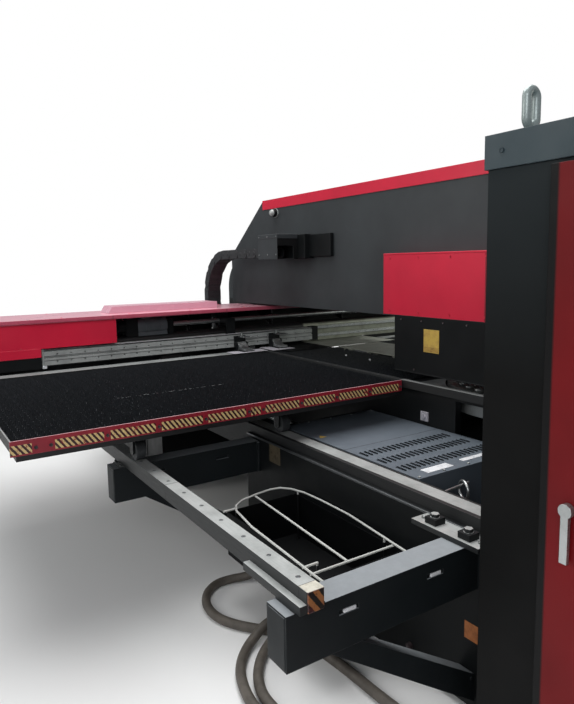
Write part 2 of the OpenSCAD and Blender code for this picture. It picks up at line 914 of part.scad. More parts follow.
// Side table on the left; the right one is its mirror
module side_table() {
    bar = 40;
    low = plate_low_z - table_bar_h;
    x1 = side_table_x;
    in_w = side_x - x1;
    union() {
        block([-side_x, table_y, plate_low_z], [-x1, table_back_y, plate_z]);
        // Frame bars under the plate
        for (y = [table_y, roller_y - bar / 2, table_y + table_d / 2, table_back_y - bar])
            block([-side_x + 20, y, low], [-x1, y + bar, plate_low_z + 1]);
        for (x = [-side_x + 20, -side_x + in_w / 2, -x1 - bar])
            block([x, table_y, low], [x + bar, table_back_y, plate_low_z + 1]);
        // Bare strip at the rear and thin edge plate at the outer end
        block([-side_x, table_back_y - strip_w, plate_z - 1], [-x1, table_back_y, sheet_z]);
        block([-side_x, table_y, plate_z - 1], [-side_x + 6, table_back_y, sheet_z]);
        // Arms back to the carriage beam
        for (x = [-side_x + 200, -side_x + 800, -y_rail_x + 40, -x1 - 130]) {
            block([x, table_back_y - 20, low], [x + 60, beam_back_y - 20, plate_low_z]);
            block([x, beam_y + 10, low], [x + 60, beam_back_y - 20, beam_z]);
        }
    }
}

module side_table_left() {
    color(steel)
        side_table();
}

module side_table_right() {
    color(steel)
        mirror([1, 0, 0])
            side_table();
}

module side_brushes() {
    color("#101214")
        both()
            brush_field(-side_x + 6, -side_table_x, table_y, table_back_y - strip_w);
}

// Red front rails
module front_rails() {
    color(red)
        both()
            block([-side_x, table_y - 6, sheet_z - front_rail_h], [-side_table_x, table_y, sheet_z]);
}

module roller_brackets() {
    top = plate_low_z - table_bar_h;
    cheek = 8;
    half = roller_wide / 2 + 2;
    color(steel)
        both()
            for (x = [-inner_roller_x, -outer_roller_x]) {
                for (side = [-half - cheek, half])
                    translate([x + side, roller_y, 0])
                        rotate([90, 0, 90])
                            linear_extrude(height = cheek)
                                union() {
                                    translate([-20, roller_z])
                                        square([40, top - roller_z]);
                                    translate([0, roller_z])
                                        circle(r = 20);
                                }
                translate([x - half - cheek, roller_y, roller_z])
                    rotate([0, 90, 0])
                        cylinder(h = 2 * (half + cheek), r = axle_r);
            }
}

module table_rollers() {
    color("#2a2b2c")
        for (x = [-outer_roller_x, -inner_roller_x, inner_roller_x, outer_roller_x])
            translate([x - roller_wide / 2, roller_y, roller_z])
                rotate([0, 90, 0])
                    difference() {
                        cylinder(h = roller_wide, r = roller_r, $fn = 64);
                        translate([0, 0, -1])
                            cylinder(h = roller_wide + 2, r = axle_r + run_fit);
                    }
}

// Carriage

module carriage_beam() {
    half = beam_l / 2;
    edge = 26;
    rail_x0 = -y_rail_x - rail_w;
    color(steel)
        union() {
            difference() {
                profile_x(beam_l)
                    union() {
                        translate([beam_y + edge, beam_z])
                            square([beam_d - edge, beam_h]);
                        translate([beam_y, beam_z])
                            square([beam_d, beam_h - edge]);
                        translate([beam_y + edge, beam_top - edge])
                            circle(r = edge, $fn = 64);
                    }
                // Long recess between the two guides
                block([-half - 1, beam_y - 1, beam_z + 56], [half + 1, beam_y + 10, beam_z + 88]);
                // Pocket for the chain's last link
                block([chain_x - chain_w / 2 - pass_fit, chain_y - link_h / 2 - pass_fit,
                        chain_low_z - link_h / 2 - pass_fit],
                    [chain_x + chain_w / 2 + pass_fit, beam_back_y + 1,
                        chain_low_z + link_h / 2 + pass_fit]);
            }
            // Saddles on the Y rails
            both()
                difference() {
                    block([rail_x0 - 24, beam_y - 30, rail_z - 22],
                        [rail_x0 + rail_w + 24, beam_back_y + 60, beam_z + 1]);
                    block([rail_x0 - 0.5, beam_y - 31, rail_z - 23],
                        [rail_x0 + rail_w + 0.5, beam_back_y + 61, rail_z + run_fit]);
                    block([rail_x0 - 25, beam_y - 31, rail_z + 60],
                        [rail_x0 + 14, beam_back_y + 61, beam_z - 24]);
                    block([rail_x0 + rail_w - 14, beam_y - 31, rail_z + 60],
                        [rail_x0 + rail_w + 25, beam_back_y + 61, beam_z - 24]);
                }
        }
}

module x_guides() {
    color(bright)
        for (z = [beam_z + 30, beam_z + 94])
            block([-beam_l / 2 + 20, slide_y + slide_d + run_fit, z], [beam_l / 2 - 20, beam_y, z + 20]);
}

module carriage_roof() {
    half = beam_l / 2 + 30;
    back = roof_y + roof_d;
    rib_y = x_screw_y + 45;
    hump_z = roof_top + 46;
    color(red)
        union() {
            block([-half, roof_y, roof_low], [half, back, roof_top]);
            block([-half, roof_y, roof_low - 20], [half, roof_y + 4, roof_low + 1]);
            // Ribs from the beam's rear edge to the roof
            for (x = [-half + 40, -1600, -1000, -300, 400, 1100, 1700, half - 48])
                translate([x, 0, 0])
                    rotate([90, 0, 90])
                        linear_extrude(height = 8)
                            polygon([[rib_y, beam_top], [beam_back_y, beam_top], [back - 20, roof_low - 60],
                                [back - 20, roof_low + 1], [rib_y, roof_low + 1]]);
            // Raised part over the motor, its left end sloping
            translate([0, back - 160, 0])
                rotate([90, 0, 0])
                    linear_extrude(height = 180)
                        polygon([[-1610, roof_top - 1], [-1580, hump_z], [-810, hump_z],
                            [-810, roof_top - 1]]);
        }
}

// Sheet that closes the roof's far side, with a notch for the cable chain
module roof_back() {
    half = beam_l / 2 + 30;
    y0 = roof_y + roof_d - 20;
    color(nearBlack)
        difference() {
            block([-half, y0, beam_top - 30], [half, y0 + sheet_t, roof_low]);
            block([chain_x - chain_w / 2 - 12, y0 - 1, beam_top - 31],
                [chain_x + chain_w / 2 + 12, y0 + sheet_t + 1, beam_top + 90]);
        }
}

module beam_end_covers() {
    half = beam_l / 2 + 30;
    y0 = roof_y + 5;
    low = slide_top + 9;
    color(red)
        both()
            union() {
                block([-half, y0, low], [-half + end_cover_l, y0 + sheet_t, roof_low]);
                block([-half, y0, beam_z + 99], [-half + 150, y0 + sheet_t, low + 1]);
                // Inner end plate on the beam, outer end plate past the beam's end
                block([-half + end_cover_l - sheet_t, y0, low],
                    [-half + end_cover_l, beam_y - 1, roof_low]);
                difference() {
                    block([-half + end_cover_l - sheet_t, beam_y - 2, beam_top],
                        [-half + end_cover_l, beam_back_y - 50, roof_low]);
                    translate([-half + end_cover_l - 10, x_screw_y, x_screw_z])
                        rotate([0, 90, 0])
                            cylinder(h = 20, r = x_screw_r + 10);
                }
                block([-half, y0, beam_z], [-half + sheet_t, beam_back_y, roof_low]);
                block([-half, beam_y + 40, beam_z], [-half + 30, beam_back_y, beam_z + sheet_t]);
            }
}

module x_motor() {
    color("#8d9092")
        union() {
            translate([x_motor_x, x_screw_y, x_screw_z])
                rotate([0, 90, 0])
                    cylinder(h = x_motor_l, r = 58, $fn = 64);
            block([x_motor_x, x_screw_y - 50, beam_top],
                [x_motor_x + x_motor_l, x_screw_y + 30, x_screw_z - 40]);
            block([x_motor_x + 30, x_screw_y - 40, x_screw_z + 50],
                [x_motor_x + 110, x_screw_y + 10, x_screw_z + 78]);
        }
}

module x_screw_bearings() {
    end_x = beam_l / 2 - 440;
    bore = x_screw_r + run_fit;
    color(nearBlack) {
        // Housing at the motor's outer end, with a round nose
        block([x_motor_x - 80, x_screw_y - 55, beam_top], [x_motor_x, x_screw_y + 35, x_screw_z + 55]);
        translate([x_motor_x - 130, x_screw_y, x_screw_z])
            rotate([0, 90, 0])
                cylinder(h = 50, r = 46, $fn = 64);
        for (x = [x_motor_x + x_motor_l + 12, end_x])
            difference() {
                block([x, x_screw_y - 40, beam_top], [x + 40, x_screw_y + 34, x_screw_z + 36]);
                translate([x - 1, x_screw_y, x_screw_z])
                    rotate([0, 90, 0])
                        cylinder(h = 42, r = bore, $fn = 64);
            }
    }
}

module x_screw() {
    start_x = x_motor_x + x_motor_l + run_fit;
    color(bright)
        translate([start_x, x_screw_y, x_screw_z])
            rotate([0, 90, 0])
                cylinder(h = beam_l / 2 - 380 - start_x, r = x_screw_r, $fn = 64);
}

module chain_tray() {
    half = chain_w / 2 + 4;
    floor_z = chain_low_z - link_h / 2 - 4.25;
    end_y = chain_y + y_travel / 2 + 60;
    color(charcoal)
        union() {
            block([chain_x - half - 4, beam_back_y, floor_z], [chain_x + half + 4, end_y, floor_z + 4]);
            for (x = [chain_x - half - 4, chain_x + half])
                block([x, beam_back_y, floor_z], [x + 4, end_y, floor_z + 38]);
            // Bracket down the beam's rear face
            block([chain_x - half - 4, beam_back_y, beam_z],
                [chain_x + half + 4, beam_back_y + 6, floor_z + 1]);
        }
}

module y_nut_bracket() {
    color(charcoal)
        difference() {
            union() {
                block([screw_x - 40, nut_y - 30, screw_z], [screw_x + 40, nut_y + 30, beam_z]);
                translate([screw_x, nut_y - 30, screw_z])
                    rotate([-90, 0, 0])
                        cylinder(h = 60, r = 40, $fn = 64);
            }
            translate([screw_x, nut_y - 31, screw_z])
                rotate([-90, 0, 0])
                    cylinder(h = 62, r = screw_r + run_fit, $fn = 64);
        }
}

// Y drive in the left base

module y_motor() {
    motor_y1 = louvre_end - 160;
    color("#8d9092")
        union() {
            translate([screw_x, motor_y1 - 240, screw_z])
                rotate([-90, 0, 0])
                    cylinder(h = 240, r = 72, $fn = 64);
            block([screw_x - 72, motor_y1 - 40, pit_z], [screw_x + 72, motor_y1 - 10, screw_z]);
            block([screw_x - 72, motor_y1 - 220, pit_z], [screw_x + 72, motor_y1 - 190, screw_z]);
        }
}

module y_screw_bearings() {
    rear_y = louvre_end + 8;
    front_y2 = front_base_y + channel_l - 80;
    color(nearBlack)
        for (b = [[rear_y, pit_z], [front_y2, screw_z - 80]])
            difference() {
                block([screw_x - 60, b[0], b[1]], [screw_x + 60, b[0] + 40, screw_z + 44]);
                translate([screw_x, b[0] - 1, screw_z])
                    rotate([-90, 0, 0])
                        cylinder(h = 42, r = screw_r + run_fit, $fn = 64);
            }
}

module y_screw() {
    y0 = louvre_end - 160 + run_fit;
    color(bright)
        translate([screw_x, y0, screw_z])
            rotate([-90, 0, 0])
                cylinder(h = front_base_y + 610 - y0, r = screw_r, $fn = 64);
}

// Cross slide and workholders

module cross_slide() {
    half = slide_l / 2;
    holes = floor((slide_l - 120) / hole_pitch);
    x0 = slide_rest_x - holes * hole_pitch / 2;
    color(steel)
        difference() {
            union() {
                translate([slide_rest_x, 0, 0])
                    profile_x(slide_l)
                        difference() {
                            translate([slide_y, slide_z])
                                square([slide_d, slide_h]);
                            // Groove along the face between the two rows of holes
                            translate([slide_y - 1, slide_z + slide_h / 2 - 5])
                                square([9, 8]);
                            // Step at the top edge
                            translate([slide_y - 1, slide_top - 12])
                                square([13, 13]);
                        }
                block([slide_rest_x - half - 12, slide_y + 4, slide_z - 4],
                    [slide_rest_x - half, slide_y + slide_d, slide_top + 4]);
            }
            for (i = [0 : holes])
                for (z = [slide_z + 22, slide_z + 66])
                    translate([x0 + i * hole_pitch, slide_y - 1, z])
                        rotate([-90, 0, 0])
                            cylinder(h = 15, r = 5, $fn = 20);
        }
}

module slide_brackets() {
    end_x = slide_rest_x + slide_l / 2;
    nut_x = slide_rest_x + slide_nut_d;
    color(nearBlack)
        block([end_x, slide_y + 6, slide_z - 8], [end_x + 60, slide_y + slide_d, slide_top + 4]);
    color(charcoal)
        difference() {
            union() {
                block([nut_x - 35, slide_y + 30, slide_top], [nut_x + 35, slide_y + 50, x_screw_z + 20]);
                block([nut_x - 35, slide_y + 49, x_screw_z - 14],
                    [nut_x + 35, x_screw_y, x_screw_z + 20]);
                translate([nut_x - 35, x_screw_y, x_screw_z])
                    rotate([0, 90, 0])
                        cylinder(h = 70, r = 32, $fn = 64);
            }
            translate([nut_x - 36, x_screw_y, x_screw_z])
                rotate([0, 90, 0])
                    cylinder(h = 72, r = x_screw_r + run_fit, $fn = 64);
        }
}

// A workholder: fixed lower jaw, back on the slide and two ears for the jaw's pin
module workholder(x) {
    jaw_y0 = slide_y - 140;
    low = sheet_z + 3;
    union() {
        block([x - holder_w / 2, jaw_y0, low], [x + holder_w / 2, slide_y, low + 7]);
        block([x - holder_w / 2, slide_y - 12, low], [x + holder_w / 2, slide_y, slide_z + 80]);
        for (side = [-holder_w / 2, holder_w / 2 - 10])
            translate([x + side, 0, 0])
                rotate([90, 0, 90])
                    linear_extrude(height = 10)
                        union() {
                            translate([jaw_pivot_y, low + 6])
                                square([slide_y - 11 - jaw_pivot_y, jaw_pivot_z - low + 6]);
                            translate([jaw_pivot_y, jaw_pivot_z])
                                circle(r = 12);
                            translate([jaw_pivot_y - 12, low + 6])
                                square([24, jaw_pivot_z - low - 6]);
                        }
        translate([x - holder_w / 2, jaw_pivot_y, jaw_pivot_z])
            rotate([0, 90, 0])
                cylinder(h = holder_w, r = jaw_pin_r);
    }
}

module workholders() {
    color(charcoal)
        for (x = holder_xs)
            workholder(x);
}

// Upper jaw: a bright bar over the lower jaw, turning on the pin
module workholder_jaw(x) {
    w = holder_w - 24;
    low = sheet_z + 12;
    color(bright)
        translate([x - w / 2, 0, 0])
            rotate([90, 0, 90])
                difference() {
                    linear_extrude(height = w)
                        union() {
                            translate([slide_y - 138, low])
                                square([138 + jaw_pivot_y - slide_y, 12]);
                            polygon([[slide_y - 100, low + 11], [jaw_pivot_y, low + 11],
                                [jaw_pivot_y, jaw_pivot_z + 11], [slide_y - 70, low + 22]]);
                            translate([jaw_pivot_y, jaw_pivot_z])
                                circle(r = 12);
                        }
                    translate([jaw_pivot_y, jaw_pivot_z, -1])
                        cylinder(h = w + 2, r = jaw_pin_r + run_fit);
                }
}

module workholder_jaw_a() {
    workholder_jaw(holder_xs[0]);
}

module workholder_jaw_b() {
    workholder_jaw(holder_xs[1]);
}

// Cable chain: links drawn about the pin at their start, running along +Y

module link_plate(x, thick) {
    translate([x, 0, 0])
        rotate([90, 0, 90])
            linear_extrude(height = thick)
                union() {
                    circle(r = link_h / 2, $fn = 40);
                    translate([link_pitch, 0])
                        circle(r = link_h / 2, $fn = 40);
                    translate([0, -link_h / 2])
                        square([link_pitch, link_h]);
                }
}

module chain_link(outer) {
    half = chain_w / 2 - (outer ? 0 : 4.4);
    union() {
        link_plate(-half, 4);
        link_plate(half - 4, 4);
        for (z = [-link_h / 2, link_h / 2 - 7])
            translate([-half + 1, link_pitch / 2 - 7, z])
                cube([2 * half - 2, 14, 7]);
    }
}

module cable_chain() {
    turn = 180 / bend_links;
    top = chain_z + chain_r;
    color("#26282a") {
        for (i = [0 : run_links - 1])
            translate([chain_x, chain_y - (i + 1) * link_pitch, top])
                chain_link(i % 2 == 0);
        for (i = [0 : bend_links - 1])
            translate([chain_x, chain_y, chain_z])
                rotate([-i * turn, 0, 0])
                    translate([0, 0, chain_r])
                        rotate([-turn / 2, 0, 0])
                            chain_link(i % 2 == 1);
    }
}

module cable_hood() {
    z0 = chain_z + chain_r - link_h / 2 - 12;
    z1 = z0 + 160;
    slot_x0 = chain_x - chain_w / 2 - 4;
    slot_x1 = chain_x + chain_w / 2 + 4;
    color(charcoal)
        difference() {
            block([hood_x, hood_y, z0], [-frame_w / 2, hood_y + hood_l, z1]);
            block([hood_x + sheet_t, hood_y + sheet_t, z0 + sheet_t],
                [-frame_w / 2 - sheet_t, hood_y + hood_l - sheet_t, z1 - sheet_t]);
            block([slot_x0, hood_y - 1, z0 - 1], [slot_x1, hood_y + hood_l + 1, z0 + link_h + 22]);
        }
}

module work_lamp() {
    lamp_y = column_y + 2582;
    lamp = [-frame_w / 2, lamp_y, top_at(lamp_y) - cap_skirt - 34];
    color("#c8cac8")
        translate(lamp)
            rotate([0, -90, 0])
                union() {
                    cylinder(h = 8, r = 32);
                    cylinder(h = 30, r = 24);
                    translate([0, 0, 30])
                        sphere(r = 24);
                }
}

// Cabinet

module cabinet_body() {
    x0 = -cabinet_x;
    x1 = -cabinet_x + cabinet_w;
    wall = 4;
    pin_x = x0 - door_t / 2 - 1;
    pin_y = door_y0 - 12;
    color(nearBlack)
        union() {
            difference() {
                block([x0, cabinet_y0, foot_h], [x1, cabinet_y1, cabinet_body_top]);
                block([x0 + wall, cabinet_y0 + wall, foot_h + 40],
                    [x1 - wall, cabinet_y1 - wall, cabinet_body_top - wall]);
                // Doorway
                block([x0 - 1, door_y0 + 20, door_z0 + 20],
                    [x0 + wall + 1, door_y0 + door_w - 20, door_z1 - 20]);
            }
            // Mounting plate inside, and the hinge pins on their blocks
            block([x1 - 60, cabinet_y0 + wall - 1, foot_h + 39], [x1 - 56, cabinet_y1 - wall + 1, door_z1]);
            for (z = [door_z0 + 180, door_z1 - 260]) {
                block([pin_x - 8, pin_y - 8, z - 20], [x0 + 1, pin_y + 7, z]);
                translate([pin_x, pin_y, z - 1])
                    cylinder(h = 76, r = hinge_r);
            }
        }
}

module cabinet_door() {
    x0 = -cabinet_x - door_t - 1;
    pin_x = -cabinet_x - door_t / 2 - 1;
    pin_y = door_y0 - 12;
    handle_y = door_y0 + door_w - 72;
    handle_z = 1000;
    color("#8e1a26")
        difference() {
            union() {
                difference() {
                    block([x0, door_y0, door_z0], [x0 + door_t, door_y0 + door_w, door_z1]);
                    block([x0 + 3, door_y0 + 3, door_z0 + 3],
                        [x0 + door_t + 1, door_y0 + door_w - 3, door_z1 - 3]);
                }
                for (z = [door_z0 + 180, door_z1 - 260]) {
                    translate([pin_x, pin_y, z + 2])
                        cylinder(h = 70, r = hinge_r + 5);
                    block([pin_x - 4, pin_y + 8, z + 2], [pin_x + 4, door_y0 + 2, z + 72]);
                }
                // Boss for the handle's spindle
                translate([x0, handle_y, handle_z])
                    rotate([0, 90, 0])
                        cylinder(h = 20, r = 16);
            }
            for (z = [door_z0 + 180, door_z1 - 260])
                translate([pin_x, pin_y, z + 1])
                    cylinder(h = 72, r = hinge_r + run_fit);
            translate([x0 - 1, handle_y, handle_z])
                rotate([0, 90, 0])
                    cylinder(h = 22, r = 8 + run_fit);
        }
}

module door_handle() {
    x0 = -cabinet_x - door_t - 1;
    handle_y = door_y0 + door_w - 72;
    handle_z = 1000;
    color(bright)
        union() {
            translate([x0 - 16, handle_y, handle_z])
                rotate([0, 90, 0])
                    cylinder(h = 38, r = 8);
            translate([x0 - 16, handle_y, handle_z])
                rotate([0, 90, 0])
                    cylinder(h = 15, r = 16);
            block([x0 - 16, handle_y - 9, handle_z - 120], [x0 - 6, handle_y + 9, handle_z]);
        }
}

module cabinet_cap() {
    color(nearBlack)
        difference() {
            block([-cabinet_x - cap_over, cabinet_y0 - cap_over, cabinet_body_top],
                [-cabinet_x + cabinet_w + cap_over, cabinet_y1 + cap_over, cabinet_h]);
            block([-cabinet_x + 6, cabinet_y0 + 6, cabinet_body_top - 1],
                [-cabinet_x + cabinet_w - 6, cabinet_y1 - 6, cabinet_h - 5]);
        }
}

module lifting_eyes() {
    eye_r = 18;
    color(steel)
        for (x = [-cabinet_x + 60, -cabinet_x + cabinet_w - 60])
            for (y = [cabinet_y0 + 70, cabinet_y1 - 70])
                translate([x, y, cabinet_h])
                    union() {
                        cylinder(h = 66, r = 10);
                        cylinder(h = 8, r = 22);
                        translate([0, 0, 64 + eye_r + 6])
                            rotate([90, 0, 0])
                                rotate_extrude($fn = 40)
                                    translate([eye_r, 0])
                                        circle(r = 8, $fn = 20);
                    }
}

module levelling_feet() {
    rear = rear_base_w / 2 - 90;
    front = front_base_w / 2 - 90;
    places = [[-rear, rear_base_y + 90], [rear, rear_base_y + 90], [-rear, rear_base_end - 90],
        [rear, rear_base_end - 90], [-front, front_base_y + 90], [front, front_base_y + 90],
        [-front, front_y - 90], [front, front_y - 90], [-380, back_y + 90], [380, back_y + 90],
        [-cabinet_x + 60, cabinet_y0 + 60], [-cabinet_x + cabinet_w - 60, cabinet_y0 + 60],
        [-cabinet_x + 60, cabinet_y1 - 60], [-cabinet_x + cabinet_w - 60, cabinet_y1 - 60]];
    color(steel)
        for (p = places)
            translate([p[0], p[1], 0]) {
                cylinder(h = foot_h * 0.4, r = 50);
                cylinder(h = foot_h, r = 22);
            }
}

// Conduits on the floor: points along each one, from the base wall outwards

// The routes are drawn for these places of the base wall and the cabinet, and follow both when they move
route_wall_x = -1270;
route_cabinet = [-1590, -1550];
function followed(route) =
    let(n = len(route), wall = -rear_base_w / 2 - route_wall_x,
        far = [-cabinet_x - route_cabinet[0], cabinet_y1 - route_cabinet[1]])
    [for (i = [0 : n - 1]) let(k = max(0, min(1, (i - 2) / (n - 5))))
        route[i] + [(1 - k) * wall + k * far[0], k * far[1], 0]];

conduit_a_route = [[-1300, -84, 80], [-1320, -84, 80], [-1380, -78, 64], [-1450, -52, 32], [-1525, -18, 21],
    [-1600, -18, 21], [-1668, -58, 21], [-1714, -124, 21], [-1734, -204, 21], [-1728, -288, 21],
    [-1694, -364, 21], [-1650, -425, 21], [-1596, -490, 21], [-1552, -560, 21], [-1520, -640, 21],
    [-1500, -730, 21], [-1490, -830, 21], [-1485, -930, 21], [-1482, -1030, 21],
    [-1476, -1130, 21], [-1462, -1230, 21], [-1444, -1320, 21], [-1424, -1400, 30],
    [-1412, -1450, 58],
    [-1410, -1500, 80], [-1410, -1520, 80]];
conduit_b_route = [[-1300, -500, 90], [-1325, -500, 90], [-1395, -498, 84], [-1480, -493, 74],
    [-1560, -490, 68], [-1625, -494, 56], [-1680, -508, 34], [-1734, -538, 21], [-1785, -590, 21],
    [-1827, -655, 21], [-1857, -738, 21], [-1873, -825, 21], [-1874, -920, 21],
    [-1860, -1010, 21], [-1828, -1095, 21], [-1780, -1172, 21], [-1720, -1240, 21],
    [-1655, -1305, 21], [-1600, -1375, 30], [-1562, -1445, 60],
    [-1552, -1500, 80], [-1552, -1520, 80]];
conduit_c_route = [[-1300, -610, 90], [-1325, -610, 90], [-1400, -600, 84], [-1480, -585, 74],
    [-1550, -572, 68], [-1612, -568, 50], [-1662, -582, 28], [-1712, -618, 21], [-1758, -672, 21],
    [-1795, -735, 21], [-1818, -805, 21], [-1823, -880, 21], [-1816, -960, 21],
    [-1796, -1035, 21], [-1758, -1108, 21], [-1706, -1172, 21], [-1644, -1235, 21],
    [-1584, -1300, 21], [-1528, -1370, 30], [-1490, -1445, 60],
    [-1481, -1500, 80], [-1481, -1520, 80]];

function unit(v) = v / norm(v);
function heading(route, i) =
    unit(route[min(i + 1, len(route) - 1)] - route[max(i - 1, 0)]);
function ring_points(route, i, sides, r) =
    let (t = heading(route, i), u = unit(cross(t, [0, 0, 1])), w = cross(t, u))
    [for (k = [0 : sides - 1])
        route[i] + r * (cos(k * 360 / sides) * u + sin(k * 360 / sides) * w)];

// A tube swept along a route, closed at both ends
module tube(route, d) {
    sides = 10;
    last = len(route) - 1;
    points = [for (i = [0 : last]) each ring_points(route, i, sides, d / 2)];
    walls = [for (i = [0 : last - 1]) for (k = [0 : sides - 1])
        [i * sides + k, (i + 1) * sides + k, (i + 1) * sides + (k + 1) % sides,
            i * sides + (k + 1) % sides]];
    start = [for (k = [0 : sides - 1]) k];
    end = [for (k = [sides - 1 : -1 : 0]) last * sides + k];
    polyhedron(points = points, faces = concat([start], walls, [end]));
}

module conduit_a() {
    color("#5c564f")
        tube(followed(conduit_a_route), conduit_d);
}

module conduit_b() {
    color("#5c564f")
        tube(followed(conduit_b_route), conduit_d);
}

module conduit_c() {
    color("#5c564f")
        tube(followed(conduit_c_route), conduit_d);
}

// A gland between a wall and a conduit's first or last point
module gland(wall, end) {
    v = end - wall;
    translate(wall)
        rotate([0, 0, atan2(v[1], v[0])])
            rotate([0, 90, 0]) {
                cylinder(h = norm(v), d = conduit_d + 4);
                cylinder(h = norm(v) * 0.5, d = conduit_d + 22, $fn = 6);
            }
}

module conduit_glands() {
    wall_x = -rear_base_w / 2;
    cabinet_wall = cabinet_y1;
    color(steel) {
        for (line = [conduit_a_route, conduit_b_route, conduit_c_route]) {
            route = followed(line);
            gland([wall_x, route[0][1], route[0][2]], route[0]);
            last = route[len(route) - 1];
            gland([last[0], cabinet_wall, last[2]], last);
        }
    }
}

bridge_frame();
top_cap();
rear_base();
front_base();
y_rails();
louvred_covers();
pull_ring();
outriggers();
support_rails();
beam_clamps();
scrap_tray();
tray_rods();
red_turret_covers();
black_turret_cover();
ram_cylinder();
centre_table();
centre_brushes();
cable_hood();
work_lamp();
cabinet_body();
cabinet_cap();
lifting_eyes();
levelling_feet();
y_motor();
y_screw_bearings();
turret_shafts();
conduit_a();
conduit_b();
conduit_c();
conduit_glands();
carriage_beam();
x_guides();
carriage_roof();
roof_back();
beam_end_covers();
x_motor();
x_screw_bearings();
side_table_left();
side_table_right();
side_brushes();
front_rails();
roller_brackets();
chain_tray();
y_nut_bracket();
cross_slide();
slide_brackets();
workholders();
workholder_jaw_a();
workholder_jaw_b();
cable_chain();
upper_turret();
punch_tools();
lower_turret();
ram();
chute_flap();
cabinet_door();
door_handle();
x_screw();
y_screw();
table_rollers();
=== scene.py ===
import math
import random

import bmesh
import bpy
from mathutils import Matrix, Vector


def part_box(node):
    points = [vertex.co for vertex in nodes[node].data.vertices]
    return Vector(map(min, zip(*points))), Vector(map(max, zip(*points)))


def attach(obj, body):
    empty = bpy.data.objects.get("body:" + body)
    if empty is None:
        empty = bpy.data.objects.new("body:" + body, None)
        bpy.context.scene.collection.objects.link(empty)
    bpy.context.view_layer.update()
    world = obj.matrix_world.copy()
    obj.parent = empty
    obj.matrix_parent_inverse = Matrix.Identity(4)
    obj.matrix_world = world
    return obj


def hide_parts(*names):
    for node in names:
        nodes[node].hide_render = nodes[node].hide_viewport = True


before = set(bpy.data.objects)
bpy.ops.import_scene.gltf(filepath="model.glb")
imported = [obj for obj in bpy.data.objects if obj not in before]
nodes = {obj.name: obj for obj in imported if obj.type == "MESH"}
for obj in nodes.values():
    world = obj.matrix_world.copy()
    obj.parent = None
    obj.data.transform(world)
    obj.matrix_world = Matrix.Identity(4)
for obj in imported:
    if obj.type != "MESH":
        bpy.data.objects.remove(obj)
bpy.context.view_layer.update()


# camera
# solved from the edges of the table, the base and the upper frame
camera = {
    "place": (-2.830, -2.550, 1.545),
    "yaw": 33.12,       # degrees from +Y towards +X
    "pitch": 7.08,      # degrees down
    "roll": 0.97,
    "focal": 613.4,     # pixels
    "centre": (287.0, 340.0),
    "image": (574, 704),
}


def makeCamera(c):
    cy, sy = math.cos(math.radians(c["yaw"])), math.sin(math.radians(c["yaw"]))
    cp, sp = math.cos(math.radians(c["pitch"])), math.sin(math.radians(c["pitch"]))
    cr, sr = math.cos(math.radians(c["roll"])), math.sin(math.radians(c["roll"]))
    forward = Vector((sy * cp, cy * cp, -sp))
    level = Vector((cy, -sy, 0))
    down = forward.cross(level)
    right = cr * level + sr * down
    up = sr * level - cr * down
    data = bpy.data.cameras.new("photoCamera")
    cam = bpy.data.objects.new("photoCamera", data)
    bpy.context.scene.collection.objects.link(cam)
    turn = Matrix((right, up, -forward)).transposed()
    cam.matrix_world = Matrix.Translation(c["place"]) @ turn.to_4x4()
    wide, tall = c["image"]
    data.sensor_width = 36
    data.lens = c["focal"] * 36 / tall
    data.shift_x = (wide / 2 - c["centre"][0]) / tall
    data.shift_y = (c["centre"][1] - tall / 2) / tall
    data.clip_end = 60
    bpy.context.scene.camera = cam
    return cam


makeCamera(camera)
print("camera placed")


# materials
def linearColour(hexText, alpha=1.0):
    # an sRGB hex value as linear red, green, blue and alpha
    parts = [int(hexText[i:i + 2], 16) / 255 for i in (1, 3, 5)]
    return (*(p / 12.92 if p <= 0.04045 else ((p + 0.055) / 1.055) ** 2.4 for p in parts), alpha)


def addNode(tree, kind, inputs=None, output=0, **settings):
    # inputs maps a socket's name or number to a value, or to the socket it is linked from
    node = tree.nodes.new("ShaderNode" + kind)
    for key, value in settings.items():
        setattr(node, key, value)
    for key, value in (inputs or {}).items():
        if isinstance(value, bpy.types.NodeSocket):
            tree.links.new(value, node.inputs[key])
        else:
            node.inputs[key].default_value = value
    return node.outputs[output] if node.outputs else node


def startMaterial(name):
    material = bpy.data.materials.new(name)
    material.use_nodes = True
    tree = material.node_tree
    tree.nodes.clear()
    return material, tree, addNode(tree, "TexCoord", output="Object")


def finishMaterial(material, tree, sockets):
    addNode(tree, "OutputMaterial", {"Surface": addNode(tree, "BsdfPrincipled", sockets)})
    return material


def patches(tree, place, size, detail, low, high, newLow=0.0, newHigh=1.0, rough=0.55):
    # cloudy patches of a size in metres, what lies between low and high drawn out to newLow and newHigh
    cloud = addNode(tree, "TexNoise", {"Vector": place, "Scale": 1 / size, "Detail": detail,
                                       "Roughness": rough})
    return addNode(tree, "MapRange", {0: cloud, 1: low, 2: high, 3: newLow, 4: newHigh})


def layer(tree, under, hexText, mask, amount=1.0):
    # a colour laid over another one where the mask is 1
    if amount != 1.0:
        mask = addNode(tree, "Math", {0: mask, 1: amount}, operation="MULTIPLY")
    return addNode(tree, "Mix", {0: mask, 6: under, 7: linearColour(hexText)}, 2, data_type="RGBA")


def edgeMask(tree, radius):
    # 1 along sharp edges and 0 on flat faces, and the normal of a slightly rounded edge
    soft = addNode(tree, "Bevel", {"Radius": radius}, samples=4)
    flat = addNode(tree, "NewGeometry", output="Normal")
    same = addNode(tree, "VectorMath", {0: soft, 1: flat}, "Value", operation="DOT_PRODUCT")
    return addNode(tree, "MapRange", {0: same, 1: 0.995, 2: 0.86}), soft


